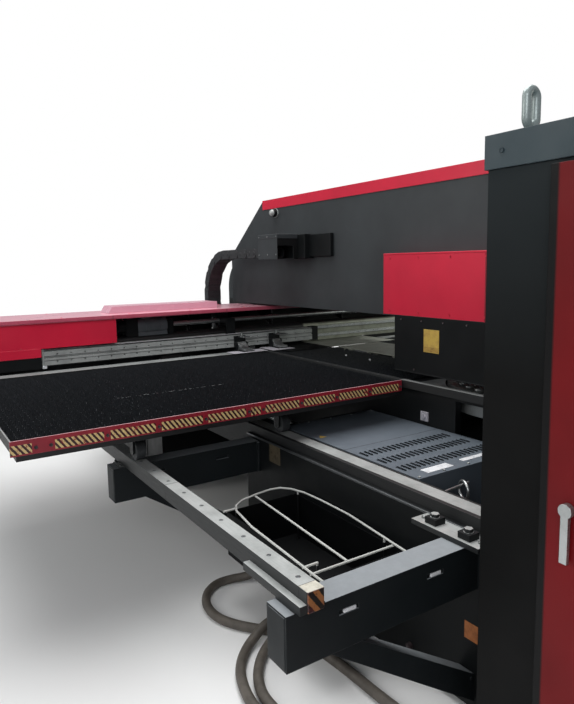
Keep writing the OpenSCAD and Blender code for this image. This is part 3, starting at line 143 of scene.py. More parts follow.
def zoneMask(tree, place, part):
    # 1 inside a zone, found from a point's place or from the way its face looks
    source = place if part["by"] == "place" else addNode(tree, "NewGeometry", output="Normal")
    value = addNode(tree, "SeparateXYZ", {0: source}, part["axis"])
    if part["both"]:
        value = addNode(tree, "Math", {0: value}, operation="ABSOLUTE")
    return addNode(tree, "MapRange", {0: value, 1: part["from"], 2: part["to"]})


def zone(by, axis, start, end, colour, both=False):
    # part of a piece in another colour: it begins where the place, or the way a face looks, passes from
    # start to end along an axis
    return {"by": by, "axis": axis, "from": start, "to": end, "colour": colour, "both": both}


# sprayed and baked paint on sheet steel: fine orange peel, dust on top, which on the outriggers is painted
# top light and on the roof painted reflection, bare metal at rubbed edges
paintBase = {
    "dustTop": 0.5,     # dust on faces that look up, on some paints painted top light
    "rough": 0.45,
    "peel": 0.006,      # orange peel from crest to crest, drawn coarser than it is so that it shows
    "wear": 0.18,       # bare metal along edges
    "coat": 0.0,
    "gloss": 0.3,
    "zones": [],
}
charcoal = {"colour": "#35393b", "shade": "#2c2f31", "dust": "#525657", "bare": "#6d7072", "rough": 0.46}
paints = {
    "charcoalPaint": charcoal,
    # below 1.248 m, under the upper beam's bottom face, the frame is near-black: painted shade
    "framePaint": {**charcoal, "zones": [zone("place", 2, 1.250, 1.248, "#101213")]},
    # the hood's faces that look towards -Y are near-black: painted shade of its open end
    "hoodPaint": {**charcoal, "zones": [zone("face", 1, -0.7, -0.9, "#0b0c0d")]},
    "blackPaint": {"colour": "#141617", "shade": "#0f1112", "dust": "#2c2e2f", "bare": "#484b4d",
                   "dustTop": 0.45, "gloss": 0.15},
    # the same black paint made darker than blackPaint as painted shade, and lighter from 1.25 m up to 1.85 m
    # and above as painted light from overhead
    "cabinetBlack": {"colour": "#0a0b0b", "shade": "#080808", "dust": "#1c1e1f", "bare": "#38393a",
                     "gloss": 0.1, "rough": 0.5, "wear": 0.12,
                     "zones": [zone("place", 2, 1.25, 1.85, "#23292b")]},
    "capGrey": {"colour": "#39474c", "shade": "#2f3b40", "dust": "#4c5a60", "bare": "#5c6a70",
                "dustTop": 0.4},
    "trayBlack": {"colour": "#0e0f10", "shade": "#0b0c0d", "dust": "#191a1b", "bare": "#38393a",
                  "gloss": 0.1, "rough": 0.55, "wear": 0.12},
    # the pale dust laid thickly on top and the flat pale grey on faces that look up are painted top light
    "outriggerPaint": {"colour": "#1b1f21", "shade": "#14181a", "dust": "#7c8183", "bare": "#7a7f80",
                       "dustTop": 0.95, "gloss": 0.2, "rough": 0.5, "peel": 0.005, "wear": 0.3,
                       "zones": [zone("face", 2, 0.72, 1.15, "#969b9f")]},
    "crimsonPaint": {"colour": "#c81f3a", "shade": "#b81c35", "dust": "#d0707c", "bare": "#d98f97",
                     "dustTop": 0.3, "rough": 0.38, "peel": 0.007, "wear": 0.22},
    # the roof's red lightened towards pink, its pale top and the pale dust on it are painted reflection of
    # the bright hall; its near-black foot below its sheet is painted shade
    "roofGloss": {"colour": "#c05a6e", "shade": "#b54d62", "dust": "#e9c3ca", "bare": "#e2b9bd",
                  "rough": 0.24, "peel": 0.009, "wear": 0.3, "coat": 0.5,
                  "zones": [zone("place", 2, 1.2112, 1.2102, "#0e0f10"),
                            zone("place", 2, 1.2375, 1.2395, "#d09cab"),
                            zone("face", 2, 0.7, 1.12, "#d9a0ad")]},
    "carriageRed": {"colour": "#d2233f", "shade": "#c01f39", "dust": "#b0505c", "bare": "#cf8f94",
                    "dustTop": 0.3, "rough": 0.34, "peel": 0.007, "wear": 0.25, "coat": 0.2},
    # a darker red than the other red paints as painted shade, with a near-black strip along its edge above y
    # -1.755 as the painted shadow of the gap
    "doorRed": {"colour": "#701015", "shade": "#5e0c10", "dust": "#984048", "bare": "#b87a7f",
                "dustTop": 0.3, "gloss": 0.15, "rough": 0.42, "peel": 0.007, "wear": 0.2,
                "zones": [zone("place", 1, -1.758, -1.752, "#0b0b0c")]},
    "louvreGrey": {"colour": "#535b63", "shade": "#474e55", "dust": "#6a727a", "bare": "#92989c",
                   "dustTop": 0.6, "peel": 0.005, "wear": 0.4},
    "motorGrey": {"colour": "#54585c", "shade": "#43474a", "dust": "#7d8184", "bare": "#a3a6a8",
                  "rough": 0.5, "peel": 0.004, "wear": 0.3},
    "rodWhite": {"colour": "#c9cac6", "shade": "#b4b5b0", "dust": "#d6d6d2", "bare": "#8c8f8f",
                 "dustTop": 0.2, "rough": 0.4, "peel": 0.003, "wear": 0.1,
                 "zones": [zone("place", 2, 0.4824, 0.4814, "#111213")]},
}


def paintMaterial(name, p):
    p = {**paintBase, **p}
    material, tree, place = startMaterial(name)
    colour = layer(tree, linearColour(p["colour"]), p["shade"], patches(tree, place, 0.35, 4, 0.3, 0.7))
    # dust lies in specks on what looks up; on the outriggers and the roof the same layer is painted light
    up = zoneMask(tree, place, zone("face", 2, 0.5, 0.95, p["dust"]))
    speck = patches(tree, place, 0.03, 6, 0.42, 0.72, 0.55, 1.0, rough=0.7)
    dustAndTopLightMask = addNode(tree, "Math", {0: up, 1: speck}, operation="MULTIPLY")
    colour = layer(tree, colour, p["dust"], dustAndTopLightMask, p["dustTop"])
    edge, soft = edgeMask(tree, 0.003)
    worn = patches(tree, place, 0.05, 5, 0.4, 0.62)
    rubbed = addNode(tree, "Math", {0: edge, 1: worn}, operation="MULTIPLY")
    colour = layer(tree, colour, p["bare"], rubbed, p["wear"])
    for part in p["zones"]:
        colour = layer(tree, colour, part["colour"], zoneMask(tree, place, part))
    crests = addNode(tree, "TexNoise", {"Vector": place, "Scale": 1 / p["peel"], "Detail": 2,
                                        "Roughness": 0.55})
    peel = addNode(tree, "Bump", {"Height": crests, "Strength": 0.12, "Distance": 0.0006, "Normal": soft})
    sheen = patches(tree, place, 0.12, 5, 0.3, 0.7, p["rough"] - 0.06, p["rough"] + 0.09)
    roughness = addNode(tree, "Math", {0: dustAndTopLightMask, 1: 0.12, 2: sheen}, operation="MULTIPLY_ADD",
                        use_clamp=True)
    return finishMaterial(material, tree, {
        "Base Color": colour, "Roughness": roughness, "Normal": peel, "Specular IOR Level": p["gloss"],
        "Coat Weight": p["coat"], "Coat Roughness": 0.08})


# ground, turned or rolled steel: fine lines along the direction it was worked in, darker grease in places
# where only the running face is ground, the zones keep the black paint on the rest; the beam's zones are
# painted shade
steelBase = {"metal": 0.85, "bright": "#d0d2d0", "zones": []}     # bright along the edges
railSteel = {"colour": "#b9bcba", "stain": "#7f8280", "rough": 0.36, "lines": (1, 0.02, 1), "line": 0.002,
             "metal": 0.3}
plateSteel = {"colour": "#9a9d9c", "stain": "#6b6e6d", "rough": 0.4, "lines": (0.05, 1, 1), "line": 0.002,
              "metal": 0.35}
steels = {
    "groundSteel": {"colour": "#b9bcbc", "stain": "#8f9291", "rough": 0.28, "lines": (0.02, 1, 1),
                    "line": 0.0009},
    "turnedSteel": {"colour": "#9c9f9f", "stain": "#6e706e", "rough": 0.34, "lines": (1, 1, 0.02),
                    "line": 0.0012},
    # the beam's up-facing faces and its part left of x -0.07 are near-black: painted shade under the roof
    "wornBeam": {"colour": "#a9ac9b", "stain": "#66695b", "rough": 0.36, "lines": (0.01, 1, 1),
                 "line": 0.004, "metal": 0.15, "zones": [zone("face", 2, 0.6, 0.9, "#101112"),
                                                         zone("place", 0, -0.060, -0.075, "#101112")]},
    "railTop": {**railSteel, "zones": [zone("face", 2, 0.9, 0.6, "#101213"),
                                       zone("place", 0, 1.2295, 1.2305, "#101213", True),
                                       zone("place", 0, 1.1625, 1.1615, "#101213", True)]},
    "supportRailTop": {**railSteel, "zones": [zone("face", 2, 0.9, 0.6, "#151819")]},
    "tableTop": {**plateSteel, "zones": [zone("face", 2, 0.9, 0.6, "#0f1011")]},
    "centreTop": {**plateSteel, "zones": [zone("face", 2, 0.9, 0.6, "#101213"),
                                          zone("place", 1, -0.191, -0.189, "#141617")]},
    "flapSteel": {"colour": "#a9ab9f", "stain": "#8c8e82", "rough": 0.42, "lines": (1, 0.05, 1),
                  "line": 0.002, "metal": 0.2},
    "jawSteel": {"colour": "#c2bfc6", "stain": "#a09da4", "rough": 0.35, "lines": (0.05, 1, 1),
                 "line": 0.001, "metal": 0.2},
    "eyeSteel": {"colour": "#9ba6a4", "stain": "#7f8a88", "rough": 0.3, "lines": (1, 1, 1), "line": 0.004,
                 "metal": 0.25},
    "toolSteel": {"colour": "#6d7072", "stain": "#45484a", "rough": 0.38, "lines": (1, 1, 0.05),
                  "line": 0.001},
    "zincSteel": {"colour": "#8d908f", "stain": "#6b6e6d", "rough": 0.45, "lines": (1, 1, 1), "line": 0.006},
    "slideAluminium": {"colour": "#a9acaa", "stain": "#747776", "rough": 0.38, "lines": (0.008, 1, 1),
                       "line": 0.0025, "metal": 0.25},
}


def steelMaterial(name, s):
    s = {**steelBase, **s}
    material, tree, place = startMaterial(name)
    drawn = addNode(tree, "Mapping", {"Vector": place, "Scale": s["lines"]})
    lines = addNode(tree, "TexNoise", {"Vector": drawn, "Scale": 1 / s["line"], "Detail": 3,
                                       "Roughness": 0.55})
    worked = addNode(tree, "MapRange", {0: lines, 1: 0.3, 2: 0.7, 3: 0.0, 4: 0.35})
    colour = layer(tree, linearColour(s["colour"]), s["stain"], worked)
    colour = layer(tree, colour, s["stain"], patches(tree, place, 0.11, 6, 0.42, 0.68, rough=0.65), 0.55)
    edge, soft = edgeMask(tree, 0.002)
    colour = layer(tree, colour, s["bright"], edge, 0.3)
    metal, rough = s["metal"], s["rough"]
    roughness = addNode(tree, "MapRange", {0: lines, 1: 0.3, 2: 0.7, 3: rough - 0.06, 4: rough + 0.12})
    for part in s["zones"]:
        mask = zoneMask(tree, place, part)
        colour = layer(tree, colour, part["colour"], mask)
        roughness = addNode(tree, "Math", {0: mask, 1: 0.12, 2: roughness}, operation="MULTIPLY_ADD",
                            use_clamp=True)
        outside = addNode(tree, "Math", {0: 1.0, 1: mask}, operation="SUBTRACT")
        metal = addNode(tree, "Math", {0: outside, 1: metal}, operation="MULTIPLY")
    bump = addNode(tree, "Bump", {"Height": lines, "Strength": 0.12, "Distance": 0.0003, "Normal": soft})
    return finishMaterial(material, tree, {
        "Base Color": colour, "Roughness": roughness, "Metallic": metal, "Normal": bump})


# moulded and extruded plastics and rubber: dull and even, with a fine grain
plastics = {
    "bristleNylon": {"colour": "#0d1013", "shade": "#181c22", "rough": 0.62, "grain": 0.012, "bump": 0.0},
    "chainPolyamide": {"colour": "#1c1e20", "shade": "#26282a", "rough": 0.48, "grain": 0.02, "bump": 0.15},
    "conduitSheath": {"colour": "#5a544d", "shade": "#47423c", "rough": 0.6, "grain": 0.05, "bump": 0.3},
    "rollerRubber": {"colour": "#26282a", "shade": "#343638", "rough": 0.65, "grain": 0.01, "bump": 0.3},
    "lampLens": {"colour": "#a4a7a5", "shade": "#8b8f8d", "rough": 0.18, "grain": 0.03, "bump": 0.0},
    "hoseBlack": {"colour": "#151617", "shade": "#202122", "rough": 0.5, "grain": 0.01, "bump": 0.1},
    "darkScrew": {"colour": "#2c2224", "shade": "#3b3032", "rough": 0.45, "grain": 0.01, "bump": 0.1},
}


def plasticMaterial(name, p):
    material, tree, place = startMaterial(name)
    grain = patches(tree, place, p["grain"], 5, 0.35, 0.65, rough=0.6)
    colour = layer(tree, linearColour(p["colour"]), p["shade"], grain)
    roughness = patches(tree, place, 0.04, 4, 0.3, 0.7, p["rough"] - 0.08, p["rough"] + 0.08)
    pores = addNode(tree, "TexNoise", {"Vector": place, "Scale": 400, "Detail": 2, "Roughness": 0.55})
    bump = addNode(tree, "Bump", {"Height": pores, "Strength": p["bump"], "Distance": 0.0008})
    return finishMaterial(material, tree, {"Base Color": colour, "Roughness": roughness, "Normal": bump})


# red rail with its painted hazard band: slanted stripes between the bolts, rubbed at the lower edge
hazard = {
    "red": "#941b2c", "redShade": "#7c1826", "dark": "#33131a", "yellow": "#cbb27a",
    "dust": "#c9a3a6", "rubbed": "#c48b90",
    "ragged": 0.006,        # unevenness of the stripes' edges
    "pitch": 0.0211,        # a dark and a yellow stripe
    "slant": 0.75,
    "low": 0.873,
    "high": 0.9085,
    "bolts": 0.2115,        # from bolt to bolt in each half of the rail
    "firstBolt": -2.358,
    "secondBolt": -1.436,
    "joint": -1.484,
    "gap": 0.013,
    "bare": (-2.425, -2.343),   # no stripes between the two bolts at the rail's end
}


def hazardMaterial(name, h):
    material, tree, place = startMaterial(name)
    z = addNode(tree, "SeparateXYZ", {0: place}, 2)
    # x as on the left half, so that both halves carry the same band
    across = addNode(tree, "Math", {0: addNode(tree, "SeparateXYZ", {0: place}, 0)}, operation="ABSOLUTE")
    x = addNode(tree, "Math", {0: across, 1: -1.0}, operation="MULTIPLY")
    # slanted stripes with ragged edges
    noise = addNode(tree, "TexNoise", {"Vector": place, "Scale": 1 / h["ragged"], "Detail": 3,
                                       "Roughness": 0.55})
    ragged = addNode(tree, "Math", {0: noise, 1: h["ragged"], 2: -h["ragged"] / 2}, operation="MULTIPLY_ADD")
    slanted = addNode(tree, "Math", {0: z, 1: h["slant"], 2: x}, operation="MULTIPLY_ADD")
    along = addNode(tree, "Math", {0: slanted, 1: ragged}, operation="ADD")
    stripes = addNode(tree, "Math", {0: along, 1: h["pitch"]}, operation="DIVIDE")
    phase = addNode(tree, "Math", {0: stripes}, operation="FRACT")
    yellow = addNode(tree, "Math", {0: phase, 1: 0.5}, operation="LESS_THAN")
    # the band's height, and clear paint round the bolts of both halves of the rail
    start, end = h["bare"]
    tests = [[(z, h["low"], "GREATER_THAN")], [(z, h["high"], "LESS_THAN")],
             [(x, start, "LESS_THAN"), (x, end, "GREATER_THAN")]]
    shown = patches(tree, place, 0.02, 5, 0.33, 0.46, rough=0.7)
    for either in tests:
        met = [addNode(tree, "Math", {0: value, 1: limit}, operation=test) for value, limit, test in either]
        inside = addNode(tree, "Math", {0: met[0], 1: met[-1]}, operation="MAXIMUM")
        shown = addNode(tree, "Math", {0: shown, 1: inside}, operation="MULTIPLY")
    clear = []
    for first, test in ((h["firstBolt"], "LESS_THAN"), (h["secondBolt"], "GREATER_THAN")):
        reach = addNode(tree, "Math", {0: x, 1: first}, operation="SUBTRACT")
        away = addNode(tree, "Math", {0: reach, 1: h["bolts"] / 2}, operation="PINGPONG")
        free = addNode(tree, "Math", {0: away, 1: h["gap"]}, operation="GREATER_THAN")
        half = addNode(tree, "Math", {0: x, 1: h["joint"]}, operation=test)
        clear.append(addNode(tree, "Math", {0: free, 1: half}, operation="MULTIPLY"))
    clear = addNode(tree, "Math", {0: clear[0], 1: clear[1]}, operation="ADD")
    shown = addNode(tree, "Math", {0: shown, 1: clear}, operation="MULTIPLY")
    colour = layer(tree, linearColour(h["red"]), h["redShade"], patches(tree, place, 0.12, 4, 0.3, 0.7))
    tape = layer(tree, linearColour(h["dark"]), h["yellow"], yellow)
    colour = addNode(tree, "Mix", {0: shown, 6: colour, 7: tape}, 2, data_type="RGBA")
    edge, soft = edgeMask(tree, 0.002)
    up = zoneMask(tree, place, zone("face", 2, 0.5, 0.95, h["dust"]))
    colour = layer(tree, colour, h["dust"], up, 0.75)
    colour = layer(tree, colour, h["rubbed"], edge, 0.35)
    roughness = patches(tree, place, 0.03, 4, 0.3, 0.7, 0.32, 0.5)
    return finishMaterial(material, tree, {"Base Color": colour, "Roughness": roughness, "Normal": soft})


# printed film or thin paint on a small plate: flat colour with grime in patches
plateFilms = {
    "yellowPlate": {"colour": "#b89a49", "grime": "#8d6a35", "rough": 0.35},
    "whitePlate": {"colour": "#e2e4e6", "grime": "#9da0a4", "rough": 0.3},
    "paleLabel": {"colour": "#4c4332", "grime": "#2c261b", "rough": 0.5},
    "creamPaint": {"colour": "#c4c0b2", "grime": "#8d897b", "rough": 0.5},
    "orangeBand": {"colour": "#a3823c", "grime": "#5e4722", "rough": 0.5},
    "orangePlate": {"colour": "#a5622f", "grime": "#5e3620", "rough": 0.5},
}


def plateMaterial(name, p):
    material, tree, place = startMaterial(name)
    grime = patches(tree, place, 0.03, 5, 0.45, 0.7, rough=0.7)
    colour = layer(tree, linearColour(p["colour"]), p["grime"], grime, 0.7)
    roughness = addNode(tree, "MapRange", {0: grime, 3: p["rough"], 4: p["rough"] + 0.25})
    return finishMaterial(material, tree, {"Base Color": colour, "Roughness": roughness})


look = {}
for make, table in ((paintMaterial, paints), (steelMaterial, steels), (plasticMaterial, plastics),
                    (plateMaterial, plateFilms)):
    for name, sizes in table.items():
        look[name] = make(name, sizes)
look["hazardRail"] = hazardMaterial("hazardRail", hazard)
# the support rail's end cap is nearly black, its stripes cover all of it
look["hazardCap"] = hazardMaterial("hazardCap", {
    **hazard, "red": "#171615", "dark": "#15130f", "yellow": "#8f5c33", "low": 0.3, "high": 0.8, "gap": 0.0,
    "pitch": 0.036})

finishes = {
    "framePaint": ["bridge_frame"],
    "charcoalPaint": ["chain_tray", "y_nut_bracket"],
    "hoodPaint": ["cable_hood"],
    "outriggerPaint": ["outriggers"],
    "crimsonPaint": ["top_cap", "red_turret_covers"],
    "roofGloss": ["carriage_roof"],
    "carriageRed": ["beam_end_covers"],
    "doorRed": ["cabinet_door"],
    "hazardRail": ["front_rails"],
    "blackPaint": ["rear_base", "front_base", "black_turret_cover", "roof_back", "y_screw_bearings",
                   "x_screw_bearings", "slide_brackets", "workholders", "roller_brackets"],
    "cabinetBlack": ["cabinet_body"],
    "capGrey": ["cabinet_cap"],
    "trayBlack": ["scrap_tray"],
    "louvreGrey": ["louvred_covers"],
    "motorGrey": ["x_motor", "y_motor"],
    "rodWhite": ["tray_rods"],
    "railTop": ["y_rails"],
    "supportRailTop": ["support_rails", "beam_clamps"],
    "wornBeam": ["carriage_beam"],
    "slideAluminium": ["cross_slide"],
    "tableTop": ["side_table_left", "side_table_right"],
    "centreTop": ["centre_table"],
    "flapSteel": ["chute_flap"],
    "turnedSteel": ["turret_shafts", "upper_turret", "lower_turret", "ram_cylinder"],
    "toolSteel": ["punch_tools"],
    "groundSteel": ["pull_ring", "x_guides", "x_screw", "y_screw", "ram", "workholder_jaw_a",
                    "workholder_jaw_b", "door_handle"],
    "eyeSteel": ["lifting_eyes"],
    "zincSteel": ["levelling_feet", "conduit_glands"],
    "chainPolyamide": ["cable_chain"],
    "rollerRubber": ["table_rollers"],
    "lampLens": ["work_lamp"],
    "bristleNylon": ["side_brushes", "centre_brushes"],
    "conduitSheath": ["conduit_a", "conduit_b", "conduit_c"],
}
for finish, names in finishes.items():
    for name in names:
        mesh = nodes[name].data
        mesh.materials.clear()
        mesh.materials.append(look[finish])
print("materials ready:", len(look))


# making and placing pieces
def newPiece(name, bm, finish, body, smooth=False):
    mesh = bpy.data.meshes.new(name)
    bm.to_mesh(mesh)
    bm.free()
    mesh.materials.append(look[finish])
    if smooth:
        mesh.shade_smooth()
    piece = bpy.data.objects.new(name, mesh)
    bpy.context.scene.collection.objects.link(piece)
    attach(piece, body)
    return piece


def addBlock(bm, low, high, bevel=0.0, segments=2):
    size = [high[i] - low[i] for i in range(3)]
    middle = [(high[i] + low[i]) / 2 for i in range(3)]
    matrix = Matrix.Translation(middle) @ Matrix.Diagonal((*size, 1))
    made = bmesh.ops.create_cube(bm, size=1, matrix=matrix)
    if bevel:
        edges = {e for v in made["verts"] for e in v.link_edges}
        bmesh.ops.bevel(bm, geom=list(edges), offset=bevel, segments=segments, profile=0.5,
                        affect="EDGES", material=-1)


def mirrored(bm):
    # the same shapes on the machine's other side
    copy = bmesh.ops.duplicate(bm, geom=bm.verts[:] + bm.edges[:] + bm.faces[:])
    verts = [g for g in copy["geom"] if isinstance(g, bmesh.types.BMVert)]
    faces = [g for g in copy["geom"] if isinstance(g, bmesh.types.BMFace)]
    bmesh.ops.scale(bm, vec=(-1, 1, 1), verts=verts)
    bmesh.ops.reverse_faces(bm, faces=faces)


def blockPiece(name, blocks, finish, body, both=False):
    # a block is its low corner, its high corner and, where it has them, its bevel and the bevel's segments
    bm = bmesh.new()
    for block in blocks:
        addBlock(bm, *block)
    if both:
        mirrored(bm)
    return newPiece(name, bm, finish, body)


def spread(start, end, count, inset):
    # places from one end to the other, the first and last one inset from them
    return [start + inset + i * (end - start - 2 * inset) / (count - 1) for i in range(count)]


def pointing(place, axis):
    # a matrix that puts a piece made along +Z at a place, pointing along axis
    turn = Vector((0, 0, 1)).rotation_difference(Vector(axis))
    return Matrix.Translation(place) @ turn.to_matrix().to_4x4()


def addRound(bm, place, axis, radius, depth, sides=24, top=None):
    # place is the middle of the foot; a size in a dictionary is radius, depth, sides and the top's radius
    matrix = pointing(place, axis) @ Matrix.Translation((0, 0, depth / 2))
    return bmesh.ops.create_cone(bm, cap_ends=True, segments=sides, radius1=radius,
                                 radius2=radius if top is None else top, depth=depth, matrix=matrix)


def addScrew(bm, place, axis, radius, height):
    # a cap screw's head with its socket
    made = addRound(bm, place, axis, radius, height, 12, radius * 0.94)
    tip = Vector(place) + Vector(axis).normalized() * height
    caps = {f for v in made["verts"] for f in v.link_faces if len(f.verts) == 12
            and (f.calc_center_median() - tip).length < radius * 0.2}
    bmesh.ops.inset_region(bm, faces=list(caps), thickness=radius * 0.42, depth=-height * 0.5)


def addLathe(bm, outline, place, axis, sides):
    # outline holds (radius, height) pairs, turned about the axis
    turn = pointing(place, axis)
    verts = [bm.verts.new(turn @ Vector((r, 0, h))) for r, h in outline]
    edges = [bm.edges.new(pair) for pair in zip(verts, verts[1:])]
    bmesh.ops.spin(bm, geom=verts + edges, cent=place, axis=Vector(axis).normalized(), angle=2 * math.pi,
                   steps=sides, use_merge=True)
    bmesh.ops.remove_doubles(bm, verts=bm.verts, dist=1e-6)
    bmesh.ops.recalc_face_normals(bm, faces=bm.faces)


# conduits on the floor
# the same routes as the solids', from the base wall to the cabinet
conduits = {
    "diameter": 0.040,
    "steps": 4,
    "conduit_a": [
        (-1.300, -0.084, 0.080), (-1.320, -0.084, 0.080), (-1.380, -0.078, 0.064), (-1.450, -0.052, 0.032),
        (-1.525, -0.018, 0.021), (-1.600, -0.018, 0.021), (-1.668, -0.058, 0.021), (-1.714, -0.124, 0.021),
        (-1.734, -0.204, 0.021), (-1.728, -0.288, 0.021), (-1.694, -0.364, 0.021), (-1.650, -0.425, 0.021),
        (-1.596, -0.490, 0.021), (-1.552, -0.560, 0.021), (-1.520, -0.640, 0.021), (-1.500, -0.730, 0.021),
        (-1.490, -0.830, 0.021), (-1.485, -0.930, 0.021), (-1.482, -1.030, 0.021), (-1.476, -1.130, 0.021),
        (-1.462, -1.230, 0.021), (-1.444, -1.320, 0.021), (-1.424, -1.400, 0.030), (-1.412, -1.450, 0.058),
        (-1.410, -1.500, 0.080), (-1.410, -1.520, 0.080)],
    "conduit_b": [
        (-1.300, -0.500, 0.090), (-1.325, -0.500, 0.090), (-1.395, -0.498, 0.084), (-1.480, -0.493, 0.074),
        (-1.560, -0.490, 0.068), (-1.625, -0.494, 0.056), (-1.680, -0.508, 0.034), (-1.734, -0.538, 0.021),
        (-1.785, -0.590, 0.021), (-1.827, -0.655, 0.021), (-1.857, -0.738, 0.021), (-1.873, -0.825, 0.021),
        (-1.874, -0.920, 0.021), (-1.860, -1.010, 0.021), (-1.828, -1.095, 0.021), (-1.780, -1.172, 0.021),
        (-1.720, -1.240, 0.021), (-1.655, -1.305, 0.021), (-1.600, -1.375, 0.030), (-1.562, -1.445, 0.060),
        (-1.552, -1.500, 0.080), (-1.552, -1.520, 0.080)],
    "conduit_c": [
        (-1.300, -0.610, 0.090), (-1.325, -0.610, 0.090), (-1.400, -0.600, 0.084), (-1.480, -0.585, 0.074),
        (-1.550, -0.572, 0.068), (-1.612, -0.568, 0.050), (-1.662, -0.582, 0.028), (-1.712, -0.618, 0.021),
        (-1.758, -0.672, 0.021), (-1.795, -0.735, 0.021), (-1.818, -0.805, 0.021), (-1.823, -0.880, 0.021),
        (-1.816, -0.960, 0.021), (-1.796, -1.035, 0.021), (-1.758, -1.108, 0.021), (-1.706, -1.172, 0.021),
        (-1.644, -1.235, 0.021), (-1.584, -1.300, 0.021), (-1.528, -1.370, 0.030), (-1.490, -1.445, 0.060),
        (-1.481, -1.500, 0.080), (-1.481, -1.520, 0.080)],
}


def smoothLine(points, steps):
    # a Catmull-Rom line through the points
    line = []
    for i in range(len(points) - 1):
        a, b = Vector(points[max(i - 1, 0)]), Vector(points[i])
        c, d = Vector(points[i + 1]), Vector(points[min(i + 2, len(points) - 1)])
        for k in range(steps):
            t = k / steps
            line.append(0.5 * (2 * b + (c - a) * t + (2 * a - 5 * b + 4 * c - d) * t * t
                               + (3 * b - a - 3 * c + d) * t ** 3))
    line.append(Vector(points[-1]))
    return line


def tubeAlong(name, line, diameter, finish, sides=4):
    data = bpy.data.curves.new(name, "CURVE")
    data.dimensions = "3D"
    data.bevel_depth = diameter / 2
    data.bevel_resolution = sides
    data.use_fill_caps = True
    spline = data.splines.new("POLY")
    spline.points.add(len(line) - 1)
    for point, spot in zip(spline.points, line):
        point.co = (*spot, 1)
    spline.use_smooth = True
    data.materials.append(look[finish])
    piece = bpy.data.objects.new(name, data)
    bpy.context.scene.collection.objects.link(piece)
    return piece


for name in ("conduit_a", "conduit_b", "conduit_c"):
    line = smoothLine(conduits[name], conduits["steps"])
    piece = tubeAlong(name.replace("_", "") + "Sheath", line, conduits["diameter"], "conduitSheath", 6)
    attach(piece, "machine")
    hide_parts(name)


# brush fields
brushes = {
    "pitchX": 0.0256,       # tufts along a row
    "pitchY": 0.040,        # rows
    "tuft": 0.030,          # depth of a tuft
    "spikes": 11,
    "spikeRadius": 0.0034,
    "holder": 0.012,        # height of the dense foot of a row
    "plate": 0.004,         # thickness of the field's plate
    "shift": 0.002,         # how far a tuft or a bristle strays
    "rowKinds": 4,
    "seeds": {"Left": 11, "Right": 23, "centre": 37},
}


def addTuft(bm, middle, height, rng, b):
    # bristles splay out from the tuft's foot, each one a thin three-sided spike
    for i in range(b["spikes"]):
        angle = 2 * math.pi * (i * 0.382)   # a sunflower's spiral fills the tuft evenly
        reach = math.sqrt((i + 0.5) / b["spikes"]) * 0.46
        offset = Vector((math.cos(angle) * reach * b["pitchX"], math.sin(angle) * reach * b["tuft"], 0))
        tall = height * rng.uniform(0.86, 0.99)
        lean = Vector((offset.x * 0.25 + rng.uniform(-b["shift"], b["shift"]),
                       offset.y * 0.15 + rng.uniform(-b["shift"], b["shift"]), tall))
        matrix = pointing(middle + offset * 0.8, lean) @ Matrix.Translation((0, 0, tall / 2))
        bmesh.ops.create_cone(bm, cap_ends=False, segments=3, radius1=b["spikeRadius"] * 1.5,
                              radius2=b["spikeRadius"] * 0.35, depth=tall, matrix=matrix)


def tuftRows(length, height, b, seed):
    # a few different rows, so that a field doesn't repeat itself row by row
    rng = random.Random(seed)
    count = int(length / b["pitchX"])
    start = (length - (count - 1) * b["pitchX"]) / 2
    rows = []
    for kind in range(b["rowKinds"]):
        bm = bmesh.new()
        for i in range(count):
            jitter = rng.uniform(-b["shift"], b["shift"])
            addTuft(bm, Vector((start + i * b["pitchX"] + jitter, 0, 0)), height, rng, b)
        mesh = bpy.data.meshes.new("tuftRow")
        bm.to_mesh(mesh)
        bm.free()
        rows.append(mesh)
    return rows


def brushField(bm, low, high, b, seed):
    # low and high are the corners of one field of the CAD comb
    length, depth, height = high[0] - low[0], high[1] - low[1], high[2] - low[2]
    rowCount = int(math.floor((depth - b["tuft"]) / b["pitchY"] + 1e-6)) + 1
    first = low[1] + (depth - (rowCount - 1) * b["pitchY"] - b["tuft"]) / 2 + b["tuft"] / 2
    rows = tuftRows(length, height - 0.004, b, seed)
    foot = low[2] + 0.003
    rng = random.Random(seed + 1)
    for i in range(rowCount):
        y = first + i * b["pitchY"]
        before = len(bm.verts)
        bm.from_mesh(rows[rng.randrange(b["rowKinds"])])
        bm.verts.ensure_lookup_table()
        bmesh.ops.translate(bm, verts=bm.verts[before:], vec=(low[0], y, foot))
        addBlock(bm, (low[0], y - b["tuft"] / 2, foot), (high[0], y + b["tuft"] / 2, low[2] + b["holder"]))
    addBlock(bm, low, (high[0], high[1], low[2] + b["plate"]))
    for mesh in rows:
        bpy.data.meshes.remove(mesh)


def splitByX(node):
    # the CAD boxes of a node's left and right half
    spots = [v.co for v in nodes[node].data.vertices]
    halves = []
    for side in (-1, 1):
        part = [p for p in spots if p.x * side > 0]
        halves.append([[edge(p[i] for p in part) for i in range(3)] for edge in (min, max)])
    return halves


def dressBrushes(b):
    for (low, high), tag in zip(splitByX("side_brushes"), ("Left", "Right")):
        bm = bmesh.new()
        brushField(bm, low, high, b, b["seeds"][tag])
        piece = newPiece("sideBrush" + tag, bm, "bristleNylon", "carriage")
        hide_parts("side_brushes")
    bm = bmesh.new()
    for low, high in splitByX("centre_brushes"):
        brushField(bm, low, high, b, b["seeds"]["centre"])
    piece = newPiece("centreBrush", bm, "bristleNylon", "machine")
    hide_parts("centre_brushes")


dressBrushes(brushes)
print("brush fields filled")


